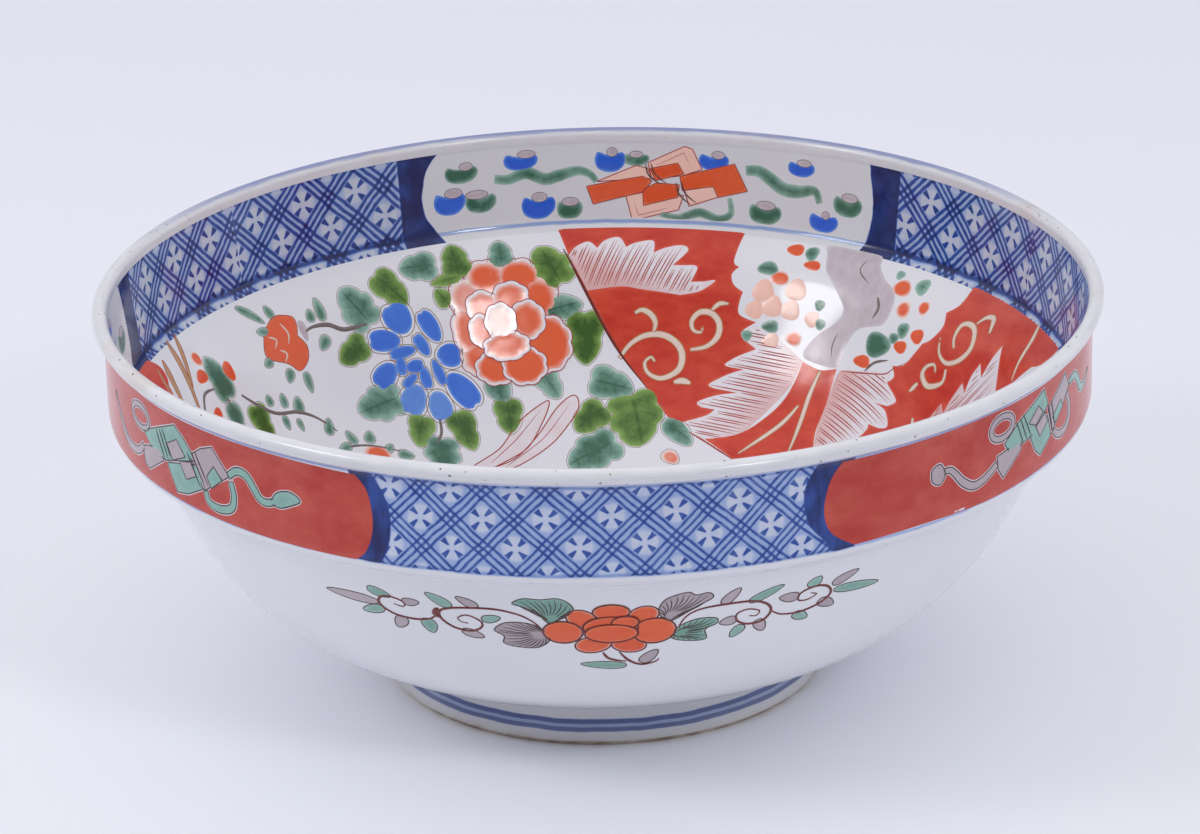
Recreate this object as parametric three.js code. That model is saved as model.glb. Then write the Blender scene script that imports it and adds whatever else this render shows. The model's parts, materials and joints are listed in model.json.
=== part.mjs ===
// A footed porcelain bowl with an upright painted collar round its rim.
//
// The bowl stands on a turned foot ring. A rounded wall rises from the ring to a keel, where it turns
// up into a straight collar that ends in a rolled lip. Each section that the potter throws, turns or
// wipes clean is a solid of its own, and each meets the next on a face that both share.
//
// Millimetres, +Z up, origin at the middle of the foot on the table.

import * as THREE from 'three';

// Foot ring and its bare pad
const footRadius = 55.5;          // outside of the ring, at its lower edge
const footTaper = 3;              // how much smaller that is where the wall springs from the ring
const footRingWidth = 8.5;        // outside to inside of the ring, at its lower edge
const footHeight = 10.8;          // table to the spring of the wall
const padHeight = 1.2;            // the unglazed band that touches the table
const padInset = 1.6;             // how far the flat contact face stays inside each side of the ring
const padEdgeInset = 0.5;         // how far the pad's top stays inside each side of the ring

// Base panel inside the foot
const baseHeight = 6;             // table to the underside of the base
const floorThickness = 4.5;       // base to the middle of the well

// Rolled lip
const rimRadius = 125;            // outermost point of the lip
const bowlHeight = 101;           // table to the top of the lip
const lipThickness = 3.8;         // width of the roll
const lipRise = 3.6;              // height of the roll above its seat on the collar
const lipTuck = 0.9;              // how far the seat stays inside the roll's outermost point
const lipInsideTuck = 0.25;       // how far the seat stays outside the roll's innermost point

// Collar, from the keel to the lip
const lipOverhang = 2.8;          // how far the lip stands out from the upright face
const collarFlare = 2.8;          // height in which the face leans out under the lip
const flareBend = 1;              // how far under the lip that lean is sharpest
const collarThickness = 3.4;      // outside to inside face, at the foot of the collar
const keelHeight = 71.8;          // table to the collar's lower edge
const keelInset = 1.8;            // how far that edge stays inside the upright face
const keelTurnHeight = 3.6;       // height in which the edge rounds up into the face
const keelBend = 1.2;             // how far above the edge that turn is sharpest
const innerCornerRise = 3.2;      // inside corner above the keel
const jointShare = 0.6;           // how far along the keel's turn the wall gives way to the collar

// Wall, from the foot to the ledge under the collar
const ledgeWidth = 4.4;           // how far the wall's top stays inside the keel
const ledgeDrop = 2.6;            // how far below the keel the wall's top is
const ledgeSlope = 34;            // degrees above level where the ledge leaves the wall
const ledgeReach = 3.1;           // how far that direction is held
const springSlope = 16;           // degrees above level where the wall leaves the foot
const springReach = 51;           // how far that direction is held, which sets the fullness low down
const shoulderSlope = 55;         // degrees above level where the wall meets the ledge
const shoulderReach = 26;         // how far that direction is held, which sets the fullness high up
const wallAtFoot = 4.6;           // wall thickness beside the foot
const wellReach = 58;             // how far the inside holds the direction in which the wall leaves the foot
const cornerSlope = 30;           // degrees above level where the inside wall meets the collar
const cornerReach = 25;           // how far that direction is held

// Fineness of the round shapes
const segmentsRound = 84;
const wallSteps = 12;
const floorSteps = 5;
const lipSteps = 6;
const turnSteps = 3;
const halvings = 40;

const footTopRadius = footRadius - footTaper;
const footInnerRadius = footRadius - footRingWidth;
const collarRadius = rimRadius - lipOverhang;
const keelRadius = collarRadius - keelInset;
const radians = THREE.MathUtils.degToRad;

function point(radius, height) {
  return new THREE.Vector2(radius, height);
}

// The point that lies a length away from another, at an angle above level pointing outwards.
function reach(start, degrees, length) {
  const direction = point(Math.cos(radians(degrees)), Math.sin(radians(degrees)));
  return start.clone().addScaledVector(direction, length);
}

// The wall's outside line, from the foot to the ledge under the collar.
const spring = point(footTopRadius, footHeight);
const wallTop = point(keelRadius - ledgeWidth, keelHeight - ledgeDrop);
const outsideWall = new THREE.CubicBezierCurve(
  spring,
  reach(spring, springSlope, springReach),
  reach(wallTop, shoulderSlope, -shoulderReach),
  wallTop,
);

// The inside line, from beside the foot to the corner at the bottom of the collar.
const insideSpring = reach(spring, springSlope + 90, wallAtFoot);
const insideCorner = point(collarRadius - collarThickness, keelHeight + innerCornerRise);
const insideWall = new THREE.CubicBezierCurve(
  insideSpring,
  reach(insideSpring, springSlope, wellReach),
  reach(insideCorner, cornerSlope, -cornerReach),
  insideCorner,
);

// The well's floor is a shallow dish that runs into the inside wall without a break.
const floorMiddle = point(0, baseHeight + floorThickness);
const floorCurve = new THREE.CubicBezierCurve(
  floorMiddle,
  point(insideSpring.x / 2, floorMiddle.y),
  reach(insideSpring, springSlope, -insideSpring.x / 3),
  insideSpring,
);

// The share of a curve at which one of its coordinates, which only grows, reaches a value.
function shareAt(curve, coordinate, value) {
  let low = 0;
  let high = 1;
  for (let turn = 0; turn < halvings; turn += 1) {
    const middle = (low + high) / 2;
    if (curve.getPoint(middle)[coordinate] < value) low = middle;
    else high = middle;
  }
  return low;
}

function floorHeight(radius) {
  return radius > 0 ? floorCurve.getPoint(shareAt(floorCurve, 'x', radius)).y : floorMiddle.y;
}

function curvePoints(curve, steps) {
  return Array.from({ length: steps + 1 }, (unused, i) => curve.getPoint(i / steps));
}

// A hollow ledge runs from the wall's top out to the keel, which rounds up into the collar's face.
const keel = point(keelRadius, keelHeight);
const ledge = new THREE.QuadraticBezierCurve(wallTop, reach(wallTop, ledgeSlope, ledgeReach), keel);
const keelTurn = new THREE.QuadraticBezierCurve(
  keel,
  point(collarRadius, keelHeight + keelBend),
  point(collarRadius, keelHeight + keelTurnHeight),
);

// The wall and the collar meet on a level ring, part of the way up the keel's turn.
const jointOutside = keelTurn.getPoint(jointShare);
const jointPlace = shareAt(insideWall, 'y', jointOutside.y);
const jointInside = point(insideWall.getPoint(jointPlace).x, jointOutside.y);

// The lip is an oval roll, whose flat underside sits on the collar's top.
const lipSeat = bowlHeight - lipRise;
const seatOutside = point(rimRadius - lipTuck, lipSeat);
const seatInside = point(rimRadius - lipThickness + lipInsideTuck, lipSeat);
const flare = new THREE.QuadraticBezierCurve(
  point(collarRadius, lipSeat - collarFlare),
  point(collarRadius, lipSeat - flareBend),
  seatOutside,
);

// Profiles run counter-clockwise, up the outside and down the inside.
function padProfile() {
  return [
    point(footInnerRadius + padInset, 0),
    point(footRadius - padInset, 0),
    point(footRadius - padEdgeInset, padHeight),
    point(footInnerRadius + padEdgeInset, padHeight),
    point(footInnerRadius + padInset, 0),
  ];
}

function footProfile() {
  return [
    point(footInnerRadius, padHeight),
    point(footRadius, padHeight),
    spring,
    point(footInnerRadius, footHeight),
    point(footInnerRadius, padHeight),
  ];
}

function floorProfile() {
  const radii = Array.from({ length: floorSteps + 1 }, (unused, i) => footInnerRadius * (1 - i / floorSteps));
  return [
    point(0, baseHeight),
    point(footInnerRadius, baseHeight),
    ...radii.map((radius) => point(radius, floorHeight(radius))),
  ];
}

function wallProfile() {
  const inside = Array.from({ length: wallSteps }, (unused, i) => (
    insideWall.getPoint(jointPlace * (1 - (i + 1) / wallSteps))
  ));
  return [
    point(footInnerRadius, footHeight),
    ...curvePoints(outsideWall, wallSteps),
    ...curvePoints(ledge, turnSteps).slice(1),
    keelTurn.getPoint(jointShare / 2),
    jointOutside,
    jointInside,
    ...inside,
    point(footInnerRadius, floorHeight(footInnerRadius)),
    point(footInnerRadius, footHeight),
  ];
}

function collarProfile() {
  return [
    jointInside,
    jointOutside,
    keelTurn.getPoint((1 + jointShare) / 2),
    keelTurn.getPoint(1),
    ...curvePoints(flare, turnSteps),
    seatInside,
    insideCorner,
    jointInside,
  ];
}

function lipProfile() {
  const middle = point(rimRadius - lipThickness / 2, bowlHeight - lipRise / 2);
  const roll = Array.from({ length: lipSteps + 1 }, (unused, i) => {
    const angle = (Math.PI * i) / lipSteps;
    return point(
      middle.x + (lipThickness / 2) * Math.cos(angle),
      middle.y + (lipRise / 2) * Math.sin(angle),
    );
  });
  return [seatInside, seatOutside, ...roll, seatInside];
}

const glazedPorcelain = new THREE.MeshStandardMaterial({ color: 0xdfe2ea, roughness: 0.08, metalness: 0 });
const wornLip = new THREE.MeshStandardMaterial({ color: 0xe4e0dc, roughness: 0.35, metalness: 0 });
const bareBiscuit = new THREE.MeshStandardMaterial({ color: 0xc9b6a3, roughness: 0.85, metalness: 0 });

// Turns a profile into a ring or disc about the bowl's upright axis.
function turned(name, profile, material) {
  const geometry = new THREE.LatheGeometry(profile, segmentsRound);
  geometry.rotateX(Math.PI / 2);
  const mesh = new THREE.Mesh(geometry, material);
  mesh.name = name;
  return mesh;
}

const bowl = new THREE.Group();
bowl.add(
  turned('foot_pad', padProfile(), bareBiscuit),
  turned('foot_ring', footProfile(), glazedPorcelain),
  turned('well_floor', floorProfile(), glazedPorcelain),
  turned('bowl_wall', wallProfile(), glazedPorcelain),
  turned('rim_collar', collarProfile(), glazedPorcelain),
  turned('lip_roll', lipProfile(), wornLip),
);

export default bowl;
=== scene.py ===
"""A footed porcelain bowl, painted in underglaze cobalt and in raised enamels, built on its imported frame.

Run it inside Blender. The frame holds the bowl's sizes, and every piece made here stays on it. The
profile and the drawings are in millimetres, and the meshes in metres, with +Z up and the middle of
the foot on the table at the origin.

A drawing lies on a chart, which is one painted face of the bowl. A place on a chart is an angle
round the bowl in degrees, positive to the right, and a distance along the profile. Angle 0 is the
side nearest to the camera on the outside of the bowl, and the far side on the inside.
"""

import json
import math

import bpy
import numpy as np
from mathutils import Matrix, Vector, geometry

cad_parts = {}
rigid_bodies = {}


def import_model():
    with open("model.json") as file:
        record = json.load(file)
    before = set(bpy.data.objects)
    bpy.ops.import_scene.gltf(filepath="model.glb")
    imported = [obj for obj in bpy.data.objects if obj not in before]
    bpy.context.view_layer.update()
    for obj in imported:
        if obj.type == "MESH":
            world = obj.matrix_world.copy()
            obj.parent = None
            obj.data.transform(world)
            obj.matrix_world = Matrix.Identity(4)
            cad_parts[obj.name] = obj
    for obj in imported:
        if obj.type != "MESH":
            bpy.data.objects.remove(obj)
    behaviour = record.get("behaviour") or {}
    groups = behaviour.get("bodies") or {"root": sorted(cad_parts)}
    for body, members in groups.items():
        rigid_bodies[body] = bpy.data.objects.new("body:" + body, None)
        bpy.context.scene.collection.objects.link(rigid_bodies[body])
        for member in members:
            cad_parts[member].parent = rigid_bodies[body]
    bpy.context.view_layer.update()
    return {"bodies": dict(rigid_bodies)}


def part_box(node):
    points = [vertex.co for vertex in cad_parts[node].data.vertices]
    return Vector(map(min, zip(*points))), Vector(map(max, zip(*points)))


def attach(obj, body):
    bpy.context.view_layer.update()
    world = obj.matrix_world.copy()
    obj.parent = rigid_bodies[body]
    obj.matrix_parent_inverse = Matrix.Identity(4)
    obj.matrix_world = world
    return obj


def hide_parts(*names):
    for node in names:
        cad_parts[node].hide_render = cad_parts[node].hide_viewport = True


bl_info = {
    "name": "Enamelled Footed Bowl",
    "version": (1, 0, 0),
    "blender": (4, 5, 0),
    "location": "View3D > Sidebar > Bowl",
    "description": "Turns a deep footed porcelain bowl on its packed frame and paints it",
    "category": "Object",
}

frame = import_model()
BODY = next(iter(frame["bodies"]))
MM = 0.001


def frame_size(node, corner, axis):
    """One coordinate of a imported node's box, in millimetres; corner 0 is the lowest, 1 the highest."""
    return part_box(node)[corner][axis] / MM


# Sizes that the frame holds
rim_radius = frame_size("lip_roll", 1, 0)
bowl_height = frame_size("lip_roll", 1, 2)
lip_seat = frame_size("lip_roll", 0, 2)
foot_radius = frame_size("foot_ring", 1, 0)
foot_height = frame_size("foot_ring", 1, 2)
pad_height = frame_size("foot_pad", 1, 2)
foot_inner_radius = frame_size("well_floor", 1, 0)
base_height = frame_size("well_floor", 0, 2)

# The curves between those sizes, as the frame has them
foot_taper = 3.0
pad_inset = 1.6
pad_edge_inset = 0.5
floor_thickness = 4.5
lip_thickness = 3.8
lip_tuck = 0.9
lip_inside_tuck = 0.25
lip_overhang = 2.8
collar_flare = 2.8
flare_bend = 1.0
collar_thickness = 3.4
keel_height = 71.8
keel_inset = 1.8
keel_turn_height = 3.6
keel_bend = 1.2
inner_corner_rise = 3.2
inner_corner_round = 2.0
joint_share = 0.6
ledge_width = 4.4
ledge_drop = 2.6
ledge_slope = 34.0
ledge_reach = 3.1
spring_slope = 16.0
spring_reach = 51.0
shoulder_slope = 55.0
shoulder_reach = 26.0
wall_at_foot = 4.6
well_reach = 58.0
corner_slope = 30.0
corner_reach = 25.0

collar_radius = rim_radius - lip_overhang
keel_radius = collar_radius - keel_inset

# Small rounds and chamfers, and how close the fine points lie beside a joint
hollow_chamfer = 1.0
foot_edge_round = 0.4
pad_edge_round = 0.3
joint_gap = 0.03

# The painting of the collar and of the wall comes round three times
THIRD = 120.0
THIRDS = (0.0, THIRD, 2 * THIRD)

# Radii of the cobalt roundel in the well, and how deeply its two rows of petals wave
outer_ring_radius = 46.0
inner_ring_radius = 43.4
outer_petal_radius = 27.0
inner_petal_radius = 15.0
heart_radius = 6.0
outer_petal_wave = 4.5
inner_petal_wave = 3.0

# The collar outside: degrees from the middle of a lattice panel, and millimetres above the keel
lattice_middle = 0.9
lattice_row = 17.2
lattice_left_end = 23.4
lattice_right_end = 22.0
outer_bar_edge = 28.0
band_foot = 2.2
band_top = 24.6

# The collar inside: degrees from the middle of a white panel, which is a little off the far side
white_middle = 8.0
white_left_end = 31.1
white_right_end = 30.2
inner_bar_edge = 34.0
inner_lattice_middle = 39.3
inner_lattice_pitch = 16.5
inner_foot_line = 0.6
# Where the painted shade under the lip begins, in millimetres above the inner corner
inner_top_shade = 21.8

# Heights of the cobalt lines on the foot
lower_foot_line = 4.3
upper_foot_line = 6.1
faint_foot_line = 9.6

# The spacing of points in a brush line and in a patch of enamel
brush_spacing = 0.7
patch_spacing = 1.2
patch_closest = 0.28

# How far in from its edge a patch is at its full height, its height at the edge, and how deep its
# underside lies in the body
patch_shoulder = 0.45
patch_edge_lift = 0.012
patch_sink = 0.03

# How high the parts of a drawing lie: each further layer of a flower or a book, a sheet of an emblem, and
# a line over its patch
layer_step = 0.085
peony_step = 0.112
sheet_lift = 0.035
sheet_step = 0.075
outline_lift = 0.02
hatch_lift = 0.03

# Widths and margins of brush lines
emblem_line = 0.36
reserve_margin = 0.38
hatch_width = 0.38
hatch_margin = 0.35
petal_notch = 0.04

# The stage, in metres
floor_front = -2.6
floor_half_width = 3.2
camera_centre = Vector((0, 0, 0.05))
camera_target = Vector((-0.000144, 0, 0.06496))


def point(radius, height):
    return Vector((radius, height))


def reach(start, degrees, length):
    """The point a length away from another, at an angle above level that points outwards."""
    angle = math.radians(degrees)
    return start + length * Vector((math.cos(angle), math.sin(angle)))


def curve_point(handles, share):
    row = list(handles)
    while len(row) > 1:
        row = [a.lerp(b, share) for a, b in zip(row, row[1:])]
    return row[0]


def curve(handles, steps, first=0.0, last=1.0):
    """Points of a curve between two shares of it, both ends included."""
    return [curve_point(handles, first + (last - first) * i / steps) for i in range(steps + 1)]


def share_at_height(handles, height):
    """The share of a rising curve at which it reaches a height."""
    low, high = 0.0, 1.0
    for _ in range(40):
        middle = (low + high) / 2
        if curve_point(handles, middle).y < height:
            low = middle
        else:
            high = middle
    return low


spring = point(foot_radius - foot_taper, foot_height)
keel = point(keel_radius, keel_height)
wall_top = point(keel_radius - ledge_width, keel_height - ledge_drop)
inside_spring = reach(spring, spring_slope + 90, wall_at_foot)
inside_corner = point(collar_radius - collar_thickness, keel_height + inner_corner_rise)
floor_middle = point(0, base_height + floor_thickness)
seat_outside = point(rim_radius - lip_tuck, lip_seat)
seat_inside = point(rim_radius - lip_thickness + lip_inside_tuck, lip_seat)
face_foot = point(collar_radius, keel_height + keel_turn_height)
face_top = point(collar_radius, lip_seat - collar_flare)

outside_wall = [
    spring,
    reach(spring, spring_slope, spring_reach),
    reach(wall_top, shoulder_slope, -shoulder_reach),
    wall_top,
]
inside_wall = [
    inside_spring,
    reach(inside_spring, spring_slope, well_reach),
    reach(inside_corner, corner_slope, -corner_reach),
    inside_corner,
]
floor_dish = [
    floor_middle,
    point(inside_spring.x / 2, floor_middle.y),
    reach(inside_spring, spring_slope, -inside_spring.x / 3),
    inside_spring,
]
ledge = [wall_top, reach(wall_top, ledge_slope, ledge_reach), keel]
keel_turn = [keel, point(collar_radius, keel_height + keel_bend), face_foot]
flare = [face_top, point(collar_radius, lip_seat - flare_bend), seat_outside]
joint_outside = curve_point(keel_turn, joint_share)
joint_place = share_at_height(inside_wall, joint_outside.y)
joint_inside = point(curve_point(inside_wall, joint_place).x, joint_outside.y)


def fine_end(points):
    """The same line with a close point beside each end, so that the shading runs on across a joint."""
    start = points[0] + (points[1] - points[0]).normalized() * joint_gap
    end = points[-1] + (points[-2] - points[-1]).normalized() * joint_gap
    return [points[0], start, *points[1:-1], end, points[-1]]


def shell_profile():
    """The wall and the floor in one line, up the outside and down the inside to the middle."""
    outside = curve(outside_wall, 64) + curve(ledge, 12)[1:] + curve(keel_turn, 8, 0, joint_share)[1:]
    inside = curve(inside_wall, 70, joint_place, 0) + curve(floor_dish, 40, 1, 0)[1:]
    base = [point(0, base_height), point(foot_inner_radius - hollow_chamfer, base_height)]
    hollow = [
        point(foot_inner_radius, base_height + hollow_chamfer),
        point(foot_inner_radius, foot_height),
    ]
    return base + hollow + fine_end(outside) + fine_end(inside)


def collar_profile():
    face = curve([face_foot, face_top], 8)[1:]
    outside = curve(keel_turn, 6, joint_share, 1) + face + curve(flare, 8)[1:]
    up = (seat_inside - inside_corner).normalized()
    corner = [joint_inside, inside_corner, inside_corner + up * inner_corner_round]
    inside = curve([seat_inside, corner[-1]], 10) + curve(corner, 14, 1, 0)[1:]
    return fine_end(outside) + fine_end(inside) + [joint_outside]


def lip_profile():
    """An oval roll, a little fuller outside than inside, as a wiped edge is."""
    middle = point(rim_radius - lip_thickness / 2, lip_seat + (bowl_height - lip_seat) / 2)
    roll = []
    for step in range(25):
        angle = math.pi * step / 24
        roll.append(middle + point(
            lip_thickness / 2 * math.cos(angle),
            (bowl_height - lip_seat) / 2 * math.sin(angle),
        ))
    return [seat_inside, *fine_end([seat_outside, *roll, seat_inside])]


def foot_profile():
    """The ring, whose outer face runs up into the wall in a small hollow of pooled glaze."""
    inner = point(foot_inner_radius, pad_height)
    outer = point(foot_radius, pad_height)
    turn = point(foot_radius - foot_taper * 0.75, foot_height - 2)
    return [
        inner + point(foot_edge_round, 0),
        outer - point(foot_edge_round, 0),
        *curve([outer + point(0, foot_edge_round), outer.lerp(spring, 0.5), turn, spring], 12),
        point(foot_inner_radius, foot_height),
        *curve([inner + point(0, foot_height - pad_height), inner + point(0, foot_edge_round)], 4)[1:],
        inner + point(foot_edge_round, 0),
    ]


def pad_profile():
    """The bare edge that touches the table, with both of its corners worn round."""
    outer_foot = point(foot_radius - pad_inset, 0)
    outer_top = point(foot_radius - pad_edge_inset, pad_height)
    inner_top = point(foot_inner_radius + pad_edge_inset, pad_height)
    inner_foot = point(foot_inner_radius + pad_inset, 0)
    worn = point(pad_edge_round, 0)
    outer_turn = [outer_foot, outer_foot.lerp(outer_top, 0.3) + worn, outer_top]
    inner_turn = [inner_top, inner_foot.lerp(inner_top, 0.3) - worn, inner_foot]
    return curve(outer_turn, 6) + curve(inner_turn, 6) + [outer_foot]


class Chart:
    """One painted face of the bowl, measured along its profile and round it."""

    def __init__(self, line, air_side, far_zero):
        self.line = np.array([tuple(p) for p in line])
        steps = np.hypot(*np.diff(self.line, axis=0).T)
        self.lengths = np.concatenate(([0.0], np.cumsum(steps)))
        tangent = np.gradient(self.line, self.lengths, axis=0)
        tangent /= np.linalg.norm(tangent, axis=1)[:, None]
        self.normals = air_side * np.stack([tangent[:, 1], -tangent[:, 0]], axis=1)
        self.forward = 1 if far_zero else -1

    def along(self, table, distance, column):
        return np.interp(distance, self.lengths, table[:, column])

    def scale(self, distance):
        """Millimetres round the bowl for each degree."""
        return float(np.radians(self.along(self.line, distance, 0)))

    def mean_scale(self, places):
        """The same at the mean distance of some places."""
        return self.scale(float(np.mean([place[1] for place in places])))

    def place(self, degrees, distance, lift):
        """Points in metres, raised from the face by a lift in millimetres."""
        radius = self.along(self.line, distance, 0) + lift * self.along(self.normals, distance, 0)
        height = self.along(self.line, distance, 1) + lift * self.along(self.normals, distance, 1)
        angle = np.radians(degrees)
        across = [radius * np.sin(angle), self.forward * radius * np.cos(angle), height]
        return np.stack(across, axis=-1) * MM

    def normal(self, degrees, distance):
        radial = self.along(self.normals, distance, 0)
        angle = np.radians(degrees)
        across = [radial * np.sin(angle), self.forward * radial * np.cos(angle)]
        return np.stack([*across, self.along(self.normals, distance, 1)], axis=-1)


face_line = curve(keel_turn, 30) + curve([face_foot, face_top], 20)[1:] + curve(flare, 30)[1:]
WELL = Chart(curve(inside_wall, 200, 1, 0) + curve(floor_dish, 100, 1, 0)[1:], 1, True)
INNER_COLLAR = Chart(curve([inside_corner, seat_inside], 20), -1, True)
OUTER_COLLAR = Chart(face_line, 1, False)
OUTER_WALL = Chart(curve(outside_wall, 200, 1, 0), -1, False)


# Geometry node trees


class Wiring:
    """Adds nodes to one tree and joins them."""

    def __init__(self, tree):
        self.tree = tree

    def new(self, kind, inputs=None, **settings):
        """A new node. Inputs are given by name or number, each as a value or as another node's output."""
        node = self.tree.nodes.new(kind)
        for name, value in settings.items():
            setattr(node, name, value)
        for name, value in (inputs or {}).items():
            self.feed(node.inputs[name], value)
        return node

    def feed(self, socket, value):
        value = getattr(value, "socket", value)
        if isinstance(value, bpy.types.NodeSocket):
            self.tree.links.new(value, socket)
        else:
            socket.default_value = value

    def math(self, operation, *values):
        return self.new("ShaderNodeMath", dict(enumerate(values)), operation=operation).outputs[0]


def shape_tree(name, inputs):
    """An empty geometry node tree that takes a geometry, the named inputs and a material."""
    tree = bpy.data.node_groups.new(name, "GeometryNodeTree")
    tree.interface.new_socket("Geometry", in_out="OUTPUT", socket_type="NodeSocketGeometry")
    tree.interface.new_socket("Geometry", in_out="INPUT", socket_type="NodeSocketGeometry")
    for label, (kind, default) in inputs.items():
        socket = tree.interface.new_socket(label, in_out="INPUT", socket_type=kind)
        socket.default_value = default
    tree.interface.new_socket("Material", in_out="INPUT", socket_type="NodeSocketMaterial")
    return tree, Wiring(tree), tree.nodes.new("NodeGroupInput").outputs


def end_shape_tree(wiring, shape, given):
    """Every tree ends in real meshes with their material."""
    smooth = wiring.new("GeometryNodeSetShadeSmooth", {"Geometry": shape})
    real = wiring.new("GeometryNodeRealizeInstances", {"Geometry": smooth.outputs[0]})
    painted = wiring.new(
        "GeometryNodeSetMaterial",
        {"Geometry": real.outputs[0], "Material": given["Material"]},
    )
    wiring.new("NodeGroupOutput", {0: painted.outputs[0]})


def turned_tree():
    """Turns a line of points about the upright axis into one closed skin."""
    tree, wiring, given = shape_tree("Turned section", {
        "Steps Round": ("NodeSocketInt", 360),
        "Merge Distance": ("NodeSocketFloat", 1e-6),
    })
    size = wiring.new("GeometryNodeAttributeDomainSize", {"Geometry": given["Geometry"]})
    row = wiring.math("ADD", given["Steps Round"], 1)
    grid = wiring.new(
        "GeometryNodeMeshGrid",
        {"Vertices X": size.outputs["Point Count"], "Vertices Y": row},
    )
    index = wiring.new("GeometryNodeInputIndex").outputs[0]
    step = wiring.math("FLOORED_MODULO", index, row)
    profile_point = wiring.new(
        "GeometryNodeSampleIndex",
        {
            "Geometry": given["Geometry"],
            "Value": wiring.new("GeometryNodeInputPosition").outputs[0],
            "Index": wiring.math("FLOOR", wiring.math("DIVIDE", wiring.math("SUBTRACT", index, step), row)),
        },
        data_type="FLOAT_VECTOR",
    ).outputs[0]
    angle = wiring.math("MULTIPLY", wiring.math("DIVIDE", step, given["Steps Round"]), -math.tau)
    place = wiring.new("ShaderNodeVectorRotate", {"Vector": profile_point, "Angle": angle})
    turned = wiring.new(
        "GeometryNodeSetPosition",
        {"Geometry": grid.outputs["Mesh"], "Position": place.outputs[0]},
    )
    merged = wiring.new(
        "GeometryNodeMergeByDistance",
        {"Geometry": turned.outputs[0], "Distance": given["Merge Distance"]},
    )
    end_shape_tree(wiring, merged.outputs[0], given)
    return tree


def brush_tree():
    """Sweeps a low oval along paths. Each point holds the brush's half breadth and the way it faces."""
    tree, wiring, given = shape_tree("Brush line", {
        "Flatness": ("NodeSocketFloat", 0.22),
        "Sides": ("NodeSocketInt", 6),
    })
    paths = wiring.new("GeometryNodeMeshToCurve", {"Mesh": given["Geometry"]})
    facing = wiring.new("GeometryNodeInputNamedAttribute", {"Name": "facing"}, data_type="FLOAT_VECTOR")
    breadth = wiring.new("GeometryNodeInputNamedAttribute", {"Name": "breadth"}, data_type="FLOAT")
    aimed = wiring.new(
        "GeometryNodeSetCurveNormal",
        {"Curve": paths.outputs[0], "Normal": facing.outputs["Attribute"]},
        mode="FREE",
    )
    oval = wiring.new("GeometryNodeCurvePrimitiveCircle", {"Resolution": given["Sides"], "Radius": 1.0})
    low = wiring.new("ShaderNodeCombineXYZ", {"X": given["Flatness"], "Y": 1.0, "Z": 1.0})
    flat = wiring.new("GeometryNodeTransform", {"Geometry": oval.outputs["Curve"], "Scale": low.outputs[0]})
    swept = wiring.new("GeometryNodeCurveToMesh", {
        "Curve": aimed.outputs[0],
        "Profile Curve": flat.outputs[0],
        "Scale": breadth.outputs["Attribute"],
        "Fill Caps": True,
    })
    end_shape_tree(wiring, swept.outputs[0], given)
    return tree


def in_scene(name, data):
    """A new object that shows in the scene."""
    thing = bpy.data.objects.new(name, data)
    bpy.context.scene.collection.objects.link(thing)
    return thing


def grown(name, seed_mesh, tree, values, sharp_degrees=40):
    """Runs a tree on a mesh and keeps the result as a plain mesh, with its real corners left sharp."""
    piece = in_scene(name, seed_mesh)
    modifier = piece.modifiers.new("Shape", "NODES")
    modifier.node_group = tree
    for item in tree.interface.items_tree:
        if item.in_out == "INPUT" and item.name in values:
            modifier[item.identifier] = values[item.name]
    depsgraph = bpy.context.evaluated_depsgraph_get()
    mesh = bpy.data.meshes.new_from_object(piece.evaluated_get(depsgraph))
    piece.modifiers.remove(modifier)
    piece.data = mesh
    bpy.data.meshes.remove(seed_mesh)
    mesh.name = name
    mesh.set_sharp_from_angle(angle=math.radians(sharp_degrees))
    return piece


def settle(piece, slot, *nodes):
    """The piece rides on the bowl and stands for any nodes named. Its slot is not used."""
    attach(piece, BODY)
    if nodes:
        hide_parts(*nodes)


def turn(name, profile, material, slot, *nodes):
    """Turns a section of the bowl from its profile."""
    seed = bpy.data.meshes.new(name)
    seed.from_pydata([(p.x * MM, 0, p.y * MM) for p in profile], [], [])
    values = {"Steps Round": bpy.context.scene.bowl_form.steps_round, "Material": material}
    settle(grown(name, seed, tree_named("Turned section"), values), slot, *nodes)


def tree_named(name):
    """A shared geometry node tree, built the first time that it is asked for."""
    builders = {"Turned section": turned_tree, "Brush line": brush_tree}
    return bpy.data.node_groups.get(name) or builders[name]()


# Drawing


def rounded(places, closed=False, spacing=0.6, scale=1.0):
    """A smooth line through places, with a point about every spacing millimetres."""
    at = np.array(places, float)
    at[:, 0] *= scale
    count = len(at)
    if count < 3 and not closed:
        spans = [(at[0], at[0], at[1], at[1])]
    else:
        pick = (lambda i: at[i % count]) if closed else (lambda i: at[min(max(i, 0), count - 1)])
        last = count if closed else count - 1
        spans = [(pick(i - 1), pick(i), pick(i + 1), pick(i + 2)) for i in range(last)]
    line = []
    for before, start, end, after in spans:
        steps = max(1, math.ceil(float(np.linalg.norm(end - start)) / spacing))
        for step in range(steps):
            t = step / steps
            line.append(0.5 * (
                2 * start
                + (end - before) * t
                + (2 * before - 5 * start + 4 * end - after) * t * t
                + (3 * start - before - 3 * end + after) * t ** 3
            ))
    if not closed:
        line.append(at[-1])
    line = np.array(line)
    line[:, 0] /= scale
    return line


def runs(start, *parts):
    """An outline of smooth runs, which meet in corners. Each run goes on from the end of the one before."""
    line = []
    for part in parts:
        line.append(rounded([start, *part])[:-1])
        start = part[-1]
    return np.vstack(line)


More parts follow.
